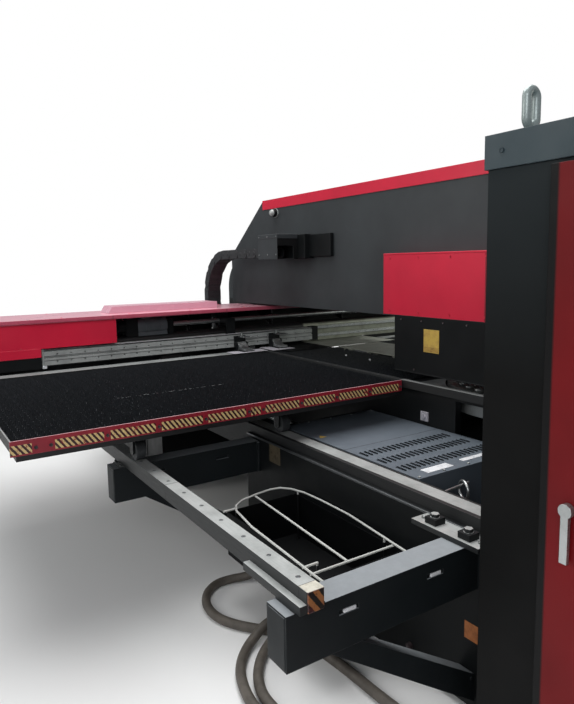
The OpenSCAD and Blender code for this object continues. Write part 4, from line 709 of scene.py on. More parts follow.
# front rails and side tables: bolts, the rail's joint, screws in the bare strip, swarf in a brush seam
rail = {
    "bolts": [-2.411, -2.358, -2.146, -1.934, -1.722, -1.510, -1.436, -1.225, -1.014, -0.803, -0.592],
    "height": 0.891,
    "bolt": (0.0068, 0.005),        # radius and height of a head
    "joint": -1.484,
    "jointHalf": 0.0012,
    "stripBolts": 8,
    "stripEnd": 0.09,               # from the table's ends to the first and last screw
    "stripRows": (0.022, 0.078),    # from the table's rear edge
    "stripScrew": (0.0075, 0.001, 16),
    "stripScrewSunk": 0.0006,
    "seam": (-1.955, -1.377, 0.279),
    "seamDepth": 0.006,             # how far the swarf lies below the table's top
    "flecks": 34,
    "fleckLong": (0.001, 0.006),    # shortest and longest half
    "fleckTall": (0.0008, 0.0018),
    "fleckStray": 0.002,
    "fleckHalf": 0.0015,            # half its width
    "seed": 5,
}


def dressFrontRails(r):
    low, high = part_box("front_rails")
    bm = bmesh.new()
    for x in r["bolts"]:
        addScrew(bm, (x, low[1], r["height"]), (0, -1, 0), *r["bolt"])
    mirrored(bm)
    newPiece("railBolts", bm, "darkScrew", "carriage")
    blockPiece("railJoints", [((r["joint"] - r["jointHalf"], low[1] - 0.0004, low[2]),
                               (r["joint"] + r["jointHalf"], low[1] + 0.002, high[2] + 0.0004))],
               "hoseBlack", "carriage", both=True)
    tableLow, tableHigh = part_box("side_table_left")
    bm = bmesh.new()
    for x in spread(tableLow[0], tableHigh[0], r["stripBolts"], r["stripEnd"]):
        for back in r["stripRows"]:
            place = (x, tableHigh[1] - back, tableHigh[2] - r["stripScrewSunk"])
            addRound(bm, place, (0, 0, 1), *r["stripScrew"])
    mirrored(bm)
    newPiece("stripScrews", bm, "toolSteel", "carriage")
    flecks = []
    stray, half = r["fleckStray"], r["fleckHalf"]
    rng = random.Random(r["seed"])
    start, end, y = r["seam"]
    z = tableHigh[2] - r["seamDepth"]
    for i in range(r["flecks"]):
        x = start + (end - start) * (i + rng.random()) / r["flecks"]
        long, tall = rng.uniform(*r["fleckLong"]), rng.uniform(*r["fleckTall"])
        dy = rng.uniform(-stray, stray)
        flecks.append(((x - long, y + dy - half, z), (x + long, y + dy + half, z + tall)))
    blockPiece("seamSwarf", flecks, "toolSteel", "carriage")


dressFrontRails(rail)


# carriage: the roof's lips, seams and screws, sheets at its ends and under its beam, the slide, the motor
carriage = {
    "sheetTop": 1.237,                      # the roof's sheet
    "frontSeams": [-1.62, -0.80, 0.0, 0.82, 1.62],
    "topSeams": [0.0, 0.82, 1.62],
    "coverScrews": [-2.40, -2.18, -1.96, -1.75, -1.63],
    "coverScrewRows": (1.068, 1.222),
    "coverScrew": (0.005, 0.003),           # radius and height of a head
    "coverFace": 1.345,
    "roofScrews": 12,
    "roofScrewEnd": 2.36,
    "roofScrewIn": 0.03,
    "roofScrew": (0.0065, 0.0022, 16, 0.0045),
    "apron": ((-2.4295, 1.3446, 1.006), (-2.066, 1.3486, 1.060), 0.0006, 1),
    # a dark sheet closes what is below the aprons, skirts hang under the beam behind the side tables
    "skirts": [((-2.400, 1.3458, 0.936), (-2.066, 1.3484, 1.007), 0.0004, 1),
               ((-2.395, 1.442, 0.850), (-0.600, 1.445, 0.932), 0.0006, 1)],
    "notchLip": ((-0.704, 1.7886, 1.1420), (-0.560, 1.7901, 1.1690), 0.0005, 1),
    "grooveX": (-2.05, -0.05),
    "grooveY": (1.3496, 1.3506),
    "grooveHalf": 0.0014,
    "slideFoot": ((-2.0615, 1.352, 0.933), (-2.036, 1.372, 0.9535), 0.003),
}
motor = {
    "axis": (1.500, 1.140),     # Y and Z
    "ribs": 13,
    "ribPitch": 0.0085,
    "ribFrom": 0.155,           # from the motor's end to the first rib
    "rib": (0.0605, 0.0034, 40),
    "bolt": (0.0055, 0.006),
    "boltReach": 0.05,
    "boltTurns": (45, 135, 225, 315),
}


def dressRoof(c):
    low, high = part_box("carriage_roof")
    front, back, sheet = low[1], high[1], c["sheetTop"]
    blockPiece("roofLip", [
        ((low[0], front - 0.0012, sheet - 0.022), (high[0], front + 0.001, sheet - 0.0005), 0.0006, 1),
        ((low[0], back - 0.003, sheet - 0.02), (high[0], back, sheet - 0.0045), 0.0008, 1)],
        "roofGloss", "carriage")
    seams = [((x - 0.0014, front - 0.0016, sheet - 0.023), (x + 0.0014, front, sheet - 0.001))
             for x in c["frontSeams"]]
    seams += [((x - 0.0012, front + 0.002, sheet - 0.001), (x + 0.0012, back - 0.004, sheet + 0.0003))
              for x in c["topSeams"]]
    blockPiece("roofSeams", seams, "hoseBlack", "carriage")
    bm = bmesh.new()
    for x in c["coverScrews"]:
        for z in c["coverScrewRows"]:
            addScrew(bm, (x, c["coverFace"], z), (0, -1, 0), *c["coverScrew"])
    mirrored(bm)
    for x in spread(-c["roofScrewEnd"], c["roofScrewEnd"], c["roofScrews"], 0):
        for y in (front + c["roofScrewIn"], back - c["roofScrewIn"]):
            addRound(bm, (x, y, sheet), (0, 0, 1), *c["roofScrew"])
    newPiece("coverScrews", bm, "carriageRed", "carriage")
    blockPiece("endAprons", [c["apron"]], "carriageRed", "carriage", both=True)
    blockPiece("beamSkirts", c["skirts"], "blackPaint", "carriage", both=True)
    blockPiece("notchLip", [c["notchLip"]], "rollerRubber", "carriage")


def dressSlide(c):
    # a pale strip along the top edge as painted highlight, dark grooves along the face, a white foot at the
    # end
    low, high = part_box("cross_slide")
    blockPiece("slideEdgeHighlight", [((low[0] + 0.014, low[1] + 0.0006, high[2] - 0.004),
                              (high[0] - 0.002, low[1] + 0.016, high[2] - 0.0034), 0.0002, 1)],
               "jawSteel", "slide")
    (x0, x1), (y0, y1), half = c["grooveX"], c["grooveY"], c["grooveHalf"]
    blockPiece("slideGrooves", [((x0, y0, z - half), (x1, y1, z + half))
                                for z in (low[2] + 0.033, low[2] + 0.060, high[2] - 0.008)],
               "hoseBlack", "slide")
    blockPiece("slideFoot", [c["slideFoot"]], "whitePlate", "slide")


def dressMotor(m):
    # ribs round the motor with its plug, and the flange's bolts
    low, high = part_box("x_motor")
    y, z = m["axis"]
    bm = bmesh.new()
    for i in range(m["ribs"]):
        x = high[0] - m["ribFrom"] + i * m["ribPitch"]
        addRound(bm, (x, y, z), (1, 0, 0), *m["rib"])
    addBlock(bm, (high[0] - 0.07, y - 0.026, z + 0.055), (high[0] - 0.02, y + 0.026, z + 0.078), 0.004)
    newPiece("motorRibs", bm, "motorGrey", "carriage")
    bm = bmesh.new()
    for turn in m["boltTurns"]:
        a = math.radians(turn)
        place = (low[0] + 0.004, y + m["boltReach"] * math.cos(a), z + m["boltReach"] * math.sin(a))
        addScrew(bm, place, (-1, 0, 0), *m["bolt"])
    newPiece("motorBolts", bm, "zincSteel", "carriage")


dressRoof(carriage)
dressSlide(carriage)
dressMotor(motor)


# workholders: bright plates, screws and a hose fitting on each, pale flats on which the sheet's edge lies
workholder = {
    "x": (-0.700, -0.405),
    "plateHalf": 0.043,
    "plateThick": 0.0016,
    "screwOut": 0.030,
    "screw": (0.0048, 0.003),
    "fittingIn": 0.035,
    "nut": (0.009, 0.012, 6),       # a hose fitting's foot
    "nipple": (0.006, 0.010, 16, 0.005),
    # low and high corner, the low one's Y from the workholders' front
    "flats": [((-0.535, -0.055, 0.9288), (-0.345, 1.3445, 0.9316)),
              ((-0.835, -0.027, 0.9284), (-0.560, 1.292, 0.9310))],
}


def dressWorkholders(w):
    low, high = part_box("workholders")
    top, half = high[2] + w["plateThick"], w["plateHalf"]
    blockPiece("holderPlates", [((x - half, low[1] + 0.004, high[2] - 0.0006),
                                 (x + half, high[1] - 0.062, top), 0.001, 2) for x in w["x"]],
               "toolSteel", "slide")
    blockPiece("jawFlats", [((a[0], low[1] + a[1], a[2]), b, 0.0006, 1) for a, b in w["flats"]],
               "jawSteel", "slide")
    bm = bmesh.new()
    for x in w["x"]:
        for dx in (-w["screwOut"], w["screwOut"]):
            for y in (low[1] + 0.022, high[1] - 0.080):
                addScrew(bm, (x + dx, y, top), (0, 0, 1), *w["screw"])
        y = high[1] - w["fittingIn"]
        addRound(bm, (x, y, high[2]), (0, 0, 1), *w["nut"])
        addRound(bm, (x, y, high[2] + w["nut"][1]), (0, 0, 1), *w["nipple"])
    newPiece("holderScrews", bm, "zincSteel", "slide")


dressWorkholders(workholder)
print("carriage dressed")


# turret covers: edge screws, a folded lip and a hem, seams, a plain yellow plate with a darker band
covers = {
    "redScrews": 7,
    "blackScrews": 9,
    "lowerScrews": (-0.75, -0.28),
    "endScrews": 5,
    "endScrewPitch": 0.23,
    "endScrewHeight": 1.225,
    "fromEnd": 0.05,
    "screw": (0.0052, 0.0032),      # radius and height of a head
    "seam": (-0.7212, -0.7188),
    "plate": ((-0.5662, -0.449, 1.090), (-0.5645, -0.346, 1.206), 0.0004, 1),
    "plateBand": ((-0.5664, -0.447, 1.092), (-0.5645, -0.348, 1.118), 0.0003, 1),
}


def dressCovers(c):
    redLow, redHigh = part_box("red_turret_covers")
    blackLow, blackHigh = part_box("black_turret_cover")
    side = redLow[0]
    bm = bmesh.new()
    for y in spread(redLow[1], redHigh[1], c["redScrews"], c["fromEnd"]):
        for z in (redLow[2] + 0.022, redHigh[2] - 0.024):
            addScrew(bm, (side, y, z), (-1, 0, 0), *c["screw"])
    mirrored(bm)
    newPiece("redCoverScrews", bm, "crimsonPaint", "machine")
    bm = bmesh.new()
    for y in spread(blackLow[1], blackHigh[1], c["blackScrews"], c["fromEnd"]):
        addScrew(bm, (side, y, blackHigh[2] - 0.020), (-1, 0, 0), *c["screw"])
    for y in c["lowerScrews"]:
        addScrew(bm, (side, y, blackLow[2] + 0.02), (-1, 0, 0), *c["screw"])
    mirrored(bm)
    for i in range(c["endScrews"]):
        x = (i - (c["endScrews"] - 1) / 2) * c["endScrewPitch"]
        addScrew(bm, (x, blackHigh[1], c["endScrewHeight"]), (0, 1, 0), *c["screw"])
    newPiece("coverEdgeScrews", bm, "darkScrew", "machine")
    blockPiece("redCoverLip", [
        ((side - 0.0012, redLow[1], redHigh[2] - 0.008),
         (side + 0.003, redHigh[1], redHigh[2] + 0.0008), 0.0015, 2),
        ((side, redHigh[1] - 0.0005, redLow[2]),
         (-0.475, redHigh[1] + 0.0014, redLow[2] + 0.02), 0.0006, 1)],
        "crimsonPaint", "machine", both=True)
    seam0, seam1 = c["seam"]
    blockPiece("coverSeams", [
        ((side - 0.0006, seam0, redLow[2] + 0.004), (side + 0.001, seam1, redHigh[2] - 0.008)),
        ((side - 0.0006, redLow[1], redLow[2] - 0.0012), (side + 0.001, redHigh[1], redLow[2] + 0.0012))],
        "hoseBlack", "machine", both=True)
    blockPiece("coverPlate", [c["plate"]], "yellowPlate", "machine")
    blockPiece("coverPlateBand", [c["plateBand"]], "orangeBand", "machine")
    blockPiece("blackCoverHem", [((side - 0.001, blackLow[1] + 0.002, blackLow[2]),
                                  (side + 0.005, blackHigh[1] - 0.002, blackLow[2] + 0.006), 0.002, 2)],
               "blackPaint", "machine", both=True)


dressCovers(covers)


# panels that stand a little proud of a wall, with vents and screws
panels = [
    # name, side, wall x, y low, z low, y high, z high, finish, slot
    ("columnPanel", 1, 0.470, -2.30, 0.34, -1.55, 1.18, "charcoalPaint", "charcoal_paint"),
    ("columnPanelTop", 1, 0.470, -2.30, 1.24, -1.55, 1.74, "charcoalPaint", "charcoal_paint"),
    ("lowerPanelLeft", -1, 0.530, -1.36, 0.12, -1.02, 0.36, "charcoalPaint", "charcoal_paint"),
    ("frontPanel", 1, 1.330, 1.62, 0.18, 2.30, 0.56, "blackPaint", "black_paint"),
    ("frontPanelLeft", -1, 1.330, 1.62, 0.18, 2.30, 0.56, "blackPaint", "black_paint"),
    ("rearPanelRight", 1, 1.270, -1.00, 0.14, -0.30, 0.56, "blackPaint", "black_paint"),
]
panelSizes = {
    "thick": 0.004,
    "ventRows": 6,
    "ventPitch": 0.022,
    "ventTop": 0.07,                # from the panel's top edge to the first row
    "ventStarts": (-0.085, 0.015),  # from the panel's middle
    "vent": (0.07, 0.007),          # length and height
    "ventProud": 0.003,
    "screwIn": 0.02,
    "screw": (0.006, 0.0035),
}


def wallPanel(name, side, wall, y0, z0, y1, z1, finish, slotName):
    s = panelSizes
    x, face = side * wall, side * (wall + s["thick"])
    low, high = min(x, face), max(x, face)
    blocks = [((low, y0, z0), (high, y1, z1), 0.0022, 3)]
    # pressed vent slots as small raised hoods
    out = s["ventProud"]
    for row in range(s["ventRows"]):
        z = z1 - s["ventTop"] - row * s["ventPitch"]
        for start in s["ventStarts"]:
            y = (y0 + y1) / 2 + start
            blocks.append(((low - (out if side < 0 else 0), y, z),
                           (high + (out if side > 0 else 0), y + s["vent"][0], z + s["vent"][1]), 0.0025, 2))
    blockPiece(name, blocks, finish, "machine")
    bm = bmesh.new()
    for y in (y0 + s["screwIn"], (y0 + y1) / 2, y1 - s["screwIn"]):
        for z in (z0 + s["screwIn"], z1 - s["screwIn"]):
            addScrew(bm, (face, y, z), (side, 0, 0), *s["screw"])
    newPiece(name + "Screws", bm, "zincSteel", "machine")


for panel in panels:
    wallPanel(*panel)


# base: plates on its wall, the latch beside the tool window, a pale line along the wall's top, bolts
base = {
    "plate": ((-1.2712, -0.080, 0.557), (-1.2695, 0.020, 0.649), 0.0004, 1),
    "plateSmall": ((-1.2712, -1.293, 0.272), (-1.2695, -1.236, 0.334), 0.0004, 1),
    "latch": ((-0.542, -0.356, 0.722), (-0.530, -0.304, 0.772), 0.003, 2),
    "latchBoss": (-0.542, -0.330, 0.747),
    "latchBossSize": (0.012, 0.006, 20),
    "latchGrip": ((-0.552, -0.334, 0.730), (-0.546, -0.326, 0.764), 0.002, 2),
    "edge": ((-1.2712, -1.430, 0.6465), (-1.2640, 0.250, 0.6556), 0.0006, 1),
    # x of a wall and the bolts along it
    "bolts": [(-1.27, (-1.36, -0.98, -0.60, -0.22, 0.16)), (-1.33, (1.40, 1.75, 2.10, 2.38))],
    "boltHeight": 0.10,
    "bolt": (0.014, 0.012),
}


def dressBase(b):
    blockPiece("wallPlate", [b["plate"]], "paleLabel", "machine")
    blockPiece("wallPlateSmall", [b["plateSmall"]], "orangePlate", "machine")
    bm = bmesh.new()
    addBlock(bm, *b["latch"])
    addRound(bm, b["latchBoss"], (-1, 0, 0), *b["latchBossSize"])
    addBlock(bm, *b["latchGrip"])
    newPiece("windowLatch", bm, "jawSteel", "machine")
    blockPiece("wallEdge", [b["edge"]], "toolSteel", "machine", both=True)
    bm = bmesh.new()
    for x, row in b["bolts"]:
        for y in row:
            addScrew(bm, (x, y, b["boltHeight"]), (-1, 0, 0), *b["bolt"])
    mirrored(bm)
    newPiece("baseBolts", bm, "darkScrew", "machine")


dressBase(base)
print("frame and base dressed")


# louvred cover: a small pressed hood over each slot, screws, plates, a sticker and a folded seam
louvres = {
    "cover": (-1.140, -0.534),
    "rows": [-0.792, -0.674, -0.556],
    "first": -1.114,
    "free": 0.086,              # width of the cover without slots
    "count": 20,
    "length": 0.062,
    "top": 0.700,
    # the hood's ridge stands over the slot's right edge
    "hood": [(0.0052, 0.0), (0.0062, 0.0032), (0.0020, 0.0050), (-0.0022, 0.0044)],
    "wall": 0.0008,
    "screwsX": (-1.125, -0.985, -0.840, -0.695, -0.550),
    "screwsY": (-0.875, 0.075),
    "screw": (0.0065, 0.004),
    "plates": [((-1.060, -0.860), (-0.910, -0.815)), ((-0.830, -0.842), (-0.670, -0.815))],
    "plateThick": 0.0012,
    "sticker": (-1.095, -0.190),
    "stickerSize": (0.024, 0.001, 3),
    "seam": (-0.4212, -0.4188),
}


def dressLouvres(l):
    left, right = l["cover"]
    top = l["top"]
    pitch = (right - left - l["free"]) / (l["count"] - 1)
    bm = bmesh.new()
    for row in l["rows"]:
        for i in range(l["count"]):
            x = l["first"] + i * pitch
            y0, y1 = row + 0.001, row + l["length"] - 0.001
            near = [bm.verts.new((x + px, y0 + 0.004, top + pz)) for px, pz in l["hood"]]
            far = [bm.verts.new((x + px, y1 - 0.004, top + pz)) for px, pz in l["hood"]]
            for a in range(3):
                bm.faces.new((near[a], near[a + 1], far[a + 1], far[a]))
            # both ends close down to the cover
            for ends, y in ((near, y0), (far, y1)):
                tip = bm.verts.new((x + 0.002, y, top))
                for a in range(3):
                    bm.faces.new((ends[a], ends[a + 1], tip))
    bmesh.ops.solidify(bm, geom=bm.faces[:], thickness=l["wall"])
    bmesh.ops.recalc_face_normals(bm, faces=bm.faces)
    mirrored(bm)
    newPiece("louvreHoods", bm, "louvreGrey", "machine")
    bm = bmesh.new()
    for x in l["screwsX"]:
        for y in l["screwsY"]:
            addScrew(bm, (x, y, top), (0, 0, 1), *l["screw"])
    mirrored(bm)
    newPiece("louvreScrews", bm, "zincSteel", "machine")
    blockPiece("coverPlates", [((*a, top), (*b, top + l["plateThick"]), 0.0004, 1) for a, b in l["plates"]],
               "whitePlate", "machine")
    bm = bmesh.new()
    addRound(bm, (*l["sticker"], top), (0, 0, 1), *l["stickerSize"])
    newPiece("coverSticker", bm, "yellowPlate", "machine")
    blockPiece("louvreSeams", [((left, l["seam"][0], top - 0.001), (right, l["seam"][1], top + 0.0004))],
               "hoseBlack", "machine", both=True)


dressLouvres(louvres)


# outriggers: dark inserts and pale tabs in the slots, end plates, flanges; the support rail's cap and joints
outrigger = {
    "front": -1.295,
    "rear": 0.130,
    "slots": (-1.480, -1.820),
    "end": (-2.0316, -2.0295),
    "endZ": (0.481, 0.629),
    "wall": -1.270,
    "flangeZ": (0.478, 0.632),
    "flangeThick": 0.012,
    "bolts": (0.02, 0.075),         # from a beam's front
    "boltRows": (0.15, 0.51, 0.60),
    "bolt": (0.008, 0.007),
    "rail": (-1.980, -1.925),
    "railFront": -1.320,
    "capEnd": -1.2830,
    "joints": [(-1.2824, -1.2806), (-0.3612, -0.3594)],
    "railBolts": 12,
    "railBoltFrom": -1.24,
    "railBoltPitch": 0.152,
    # foot, radius, depth and sides of a bolt's head and its socket
    "railBoltSizes": [(0.6996, 0.0075, 0.0007, 16), (0.6999, 0.0045, 0.0006, 6)],
    "footScrew": (0.0065, 0.005),
    "footScrewZ": 0.640,
    "footScrewOut": 0.011,          # from the rail's sides
}


def dressOutriggers(o):
    front, rear = o["front"], o["rear"]
    blockPiece("beamInserts", [((x - 0.034, front + 0.0045, 0.5795),
                                (x + 0.034, front + 0.009, 0.5945), 0.001, 1) for x in o["slots"]],
               "blackPaint", "machine", both=True)
    blockPiece("beamTabs", [((x - 0.018, front - 0.001, 0.5815),
                             (x + 0.026, front + 0.008, 0.5925), 0.002, 2) for x in o["slots"]],
               "whitePlate", "machine", both=True)
    (end0, end1), (z0, z1) = o["end"], o["endZ"]
    blockPiece("beamEnds", [((end0, y + 0.006, z0), (end1, y + 0.089, z1), 0.001, 2) for y in (front, rear)],
               "outriggerPaint", "machine", both=True)
    bm = bmesh.new()
    z0, z1 = o["flangeZ"]
    face = o["wall"] - o["flangeThick"]
    for y in (front, rear):
        for dy in o["bolts"]:
            for z in o["boltRows"]:
                addScrew(bm, (face, y + dy, z), (-1, 0, 0), *o["bolt"])
        addBlock(bm, (face, y - 0.018, z0), (o["wall"], y + 0.113, z1), 0.002, 2)
    mirrored(bm)
    newPiece("beamFlanges", bm, "outriggerPaint", "machine")
    x0, x1 = o["rail"]
    capFront = o["railFront"] - 0.004
    blockPiece("railCaps", [((x0 + 0.001, capFront, 0.6405),
                             (x1 - 0.001, o["railFront"], 0.6995), 0.002, 2)],
               "hazardCap", "machine", both=True)
    blockPiece("railCapTops", [((x0 + 0.001, capFront, 0.6998),
                                (x1 - 0.001, o["capEnd"], 0.7010), 0.0004, 1)],
               "creamPaint", "machine", both=True)
    blockPiece("supportRailJoints", [((x0 - 0.0004, y0, 0.64), (x1 + 0.0004, y1, 0.7004))
                                     for y0, y1 in o["joints"]],
               "hoseBlack", "machine", both=True)
    bm = bmesh.new()
    for i in range(o["railBolts"]):
        y = o["railBoltFrom"] + i * o["railBoltPitch"]
        for foot, *size in o["railBoltSizes"]:
            addRound(bm, ((x0 + x1) / 2, y, foot), (0, 0, 1), *size)
    for dy in o["bolts"]:
        for y in (front, rear):
            for x in (x0 - o["footScrewOut"], x1 + o["footScrewOut"]):
                addScrew(bm, (x, y + dy, o["footScrewZ"]), (0, 0, 1), *o["footScrew"])
    mirrored(bm)
    newPiece("supportRailBolts", bm, "toolSteel", "machine")


dressOutriggers(outrigger)


# clamps on the base's wall: black square blocks round the nuts, plate screws
clamp = {
    "x": -1.312,
    "foot": 0.653,
    "first": 0.070,         # from the clamp's end
    "pitch": 0.145,
    "outer": 0.0243,        # half the block's width
    "inner": 0.0165,
    "tall": 0.0222,
    "sides": 32,
    "screwIn": 0.022,
    "screw": (0.008, 0.006),
}


def dressClamps(c):
    low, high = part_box("beam_clamps")
    x, foot, top, sides = c["x"], c["foot"], c["foot"] + c["tall"], c["sides"]
    bm = bmesh.new()
    for i in range(2):
        y = low[1] + c["first"] + i * c["pitch"]
        middle = Vector((x, y, top))
        hole, rim = [bmesh.ops.create_circle(bm, segments=sides, radius=c[size],
                                             matrix=Matrix.Translation(middle))["verts"]
                     for size in ("inner", "outer")]
        # the rim's points move out to the sides of a square
        for v in rim:
            out = v.co - middle
            v.co = middle + out * c["outer"] / max(abs(out.x), abs(out.y))
        edges = list({e for v in hole + rim for e in v.link_edges})
        bmesh.ops.bridge_loops(bm, edges=edges)
        made = bmesh.ops.extrude_edge_only(bm, edges=edges)["geom"]
        lower = [g for g in made if isinstance(g, bmesh.types.BMVert)]
        bmesh.ops.translate(bm, verts=lower, vec=(0, 0, -c["tall"]))
    bmesh.ops.recalc_face_normals(bm, faces=bm.faces)
    mirrored(bm)
    newPiece("clampBlocks", bm, "blackPaint", "machine")
    bm = bmesh.new()
    for y in (low[1] + c["screwIn"], high[1] - c["screwIn"]):
        addScrew(bm, (x, y, foot), (0, 0, 1), *c["screw"])
    mirrored(bm)
    newPiece("clampScrews", bm, "zincSteel", "machine")


dressClamps(clamp)


# cable chain: bosses on every joint, snap-in lids between the plates, hoses along the middle
chain = {
    "x": -0.632,
    "y": 1.590,
    "z": 1.311,
    "radius": 0.309,
    "links": 10,            # in the upper run
    "bend": 15,             # links round the bend
    "half": 0.056,
    "boss": (0.016, 0.0025, 24, 0.0145),
    "pin": (0.007, 0.0012, 16),
    "lid": (0.0945, 0.004),             # length and thickness
    "lidWide": {1: 0.068, -1: 0.0575},  # outside and inside of the loop
    "lidOut": 0.0275,
    "hoseSteps": (20, 32),              # along the upper run and round the bend
    # name, X and Z from the chain's middle, diameter
    "hoses": [("A", -0.030, 0.0, 0.022), ("B", -0.004, 0.004, 0.018), ("C", 0.017, -0.003, 0.014),
              ("D", 0.034, 0.003, 0.012)],
}


def chainPins(c):
    pitch = 2 * c["radius"] * math.sin(math.pi / (2 * c["bend"]))
    pins = [(c["y"] - i * pitch, c["z"] + c["radius"]) for i in range(c["links"], 0, -1)]
    for i in range(c["bend"] + 1):
        a = math.pi * i / c["bend"]
        pins.append((c["y"] + c["radius"] * math.sin(a), c["z"] + c["radius"] * math.cos(a)))
    return pins


def dressChain(c):
    pins = chainPins(c)
    bm = bmesh.new()
    for y, z in pins:
        for side in (-1, 1):
            foot = (c["x"] + side * (c["half"] - 0.001), y, z)
            addRound(bm, foot, (side, 0, 0), *c["boss"])
            addRound(bm, (foot[0] + side * c["boss"][1], y, z), (side, 0, 0), *c["pin"])
    long, thick = c["lid"]
    for (y0, z0), (y1, z1) in zip(pins, pins[1:]):
        middle = Vector((c["x"], (y0 + y1) / 2, (z0 + z1) / 2))
        along = Vector((0, y1 - y0, z1 - z0)).normalized()
        out = Vector((0, -along.z, along.y))
        turn = Matrix((Vector((1, 0, 0)), along, out)).transposed().to_4x4()
        for side in (-1, 1):
            place = (Matrix.Translation(middle + out * side * c["lidOut"]) @ turn
                     @ Matrix.Diagonal((long, c["lidWide"][side], thick, 1)))
            bmesh.ops.create_cube(bm, size=1, matrix=place)
    newPiece("chainBosses", bm, "chainPolyamide", "chain_loop")
    start, (runSteps, bendSteps) = pins[0][0], c["hoseSteps"]
    for tag, dx, dz, diameter in c["hoses"]:
        x, r = c["x"] + dx, c["radius"] + dz
        line = [Vector((x, start + (c["y"] - start) * i / runSteps, c["z"] + r)) for i in range(runSteps)]
        for i in range(bendSteps + 1):
            a = math.pi * i / bendSteps
            line.append(Vector((x, c["y"] + r * math.sin(a), c["z"] + r * math.cos(a))))
        hose = tubeAlong("chainHose" + tag, line, diameter, "hoseBlack", 3)
        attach(hose, "chain_loop")


dressChain(chain)


# cable hood on the frame's side: screws, its lid, the flat duct that runs on, the lamp's collar
hood = {
    "screwIn": 0.014,
    "screwFoot": 0.03,
    "screw": (0.0045, 0.003),
    "lidTall": 0.028,
    "lidProud": 0.0015,
    "frame": -0.470,        # x of the frame's side
    # x of the outside, length, height above the foot, space below the top, bevel
    "ducts": [(-0.497, 0.300, 0.012, 0.004, 0.004), (-0.540, 0.085, 0.002, 0.001, 0.003)],
    "collar": [(0.0245, 0.0), (0.0295, 0.0), (0.0295, 0.016), (0.0265, 0.022), (0.0245, 0.022)],
    "collarBack": 0.008,
}


def dressHood(h):
    low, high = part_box("cable_hood")
    bm = bmesh.new()
    for y in (low[1] + h["screwIn"], (low[1] + high[1]) / 2, high[1] - h["screwIn"]):
        for z in (low[2] + h["screwFoot"], high[2] - h["screwIn"]):
            addScrew(bm, (low[0], y, z), (-1, 0, 0), *h["screw"])
    newPiece("hoodScrews", bm, "zincSteel", "machine")
    out = h["lidProud"]
    blockPiece("hoodLid", [((low[0] - out, low[1] - out, high[2] - h["lidTall"]),
                            (high[0], high[1] + out, high[2] + out), 0.002, 2)],
               "charcoalPaint", "machine")
    blockPiece("hoodDuct", [((x, low[1] - long, low[2] + up),
                             (h["frame"], low[1] - 0.001, high[2] - down), bevel, 2)
                            for x, long, up, down, bevel in h["ducts"]],
               "blackPaint", "machine")
    lampLow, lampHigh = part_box("work_lamp")
    y, z = (lampLow[1] + lampHigh[1]) / 2, (lampLow[2] + lampHigh[2]) / 2
    bm = bmesh.new()
    addLathe(bm, h["collar"], (lampHigh[0] - h["collarBack"], y, z), (-1, 0, 0), 40)
    newPiece("lampCollar", bm, "blackPaint", "machine")


dressHood(hood)


# cabinet: the door's vents and gasket, a bolted cover on each side wall with its vents, screws
cabinet = {
    "ventRows": 14,
    "ventColumns": 3,
    "ventFrom": 0.12,               # from the door's corner
    "ventPitch": (0.14, 0.022),     # along Y and Z
    "vent": (0.12, 0.009),
    "gasket": (0.006, 0.014),       # its edges, from the door's edge
    "coverIn": 0.06,
    "coverZ": (0.30, 1.60),
    "coverThick": 0.0025,
    "slots": 16,
    "slotFrom": 1.24,
    "slotPitch": 0.018,
    "slotIn": 0.16,
    "coverScrews": (0.32, 0.74, 1.16, 1.58),
    "coverScrew": (0.0055, 0.0035),
    "capScrew": (0.006, 0.004),
    "capScrewIn": (0.05, 0.04),     # from the cap's ends and its top
}


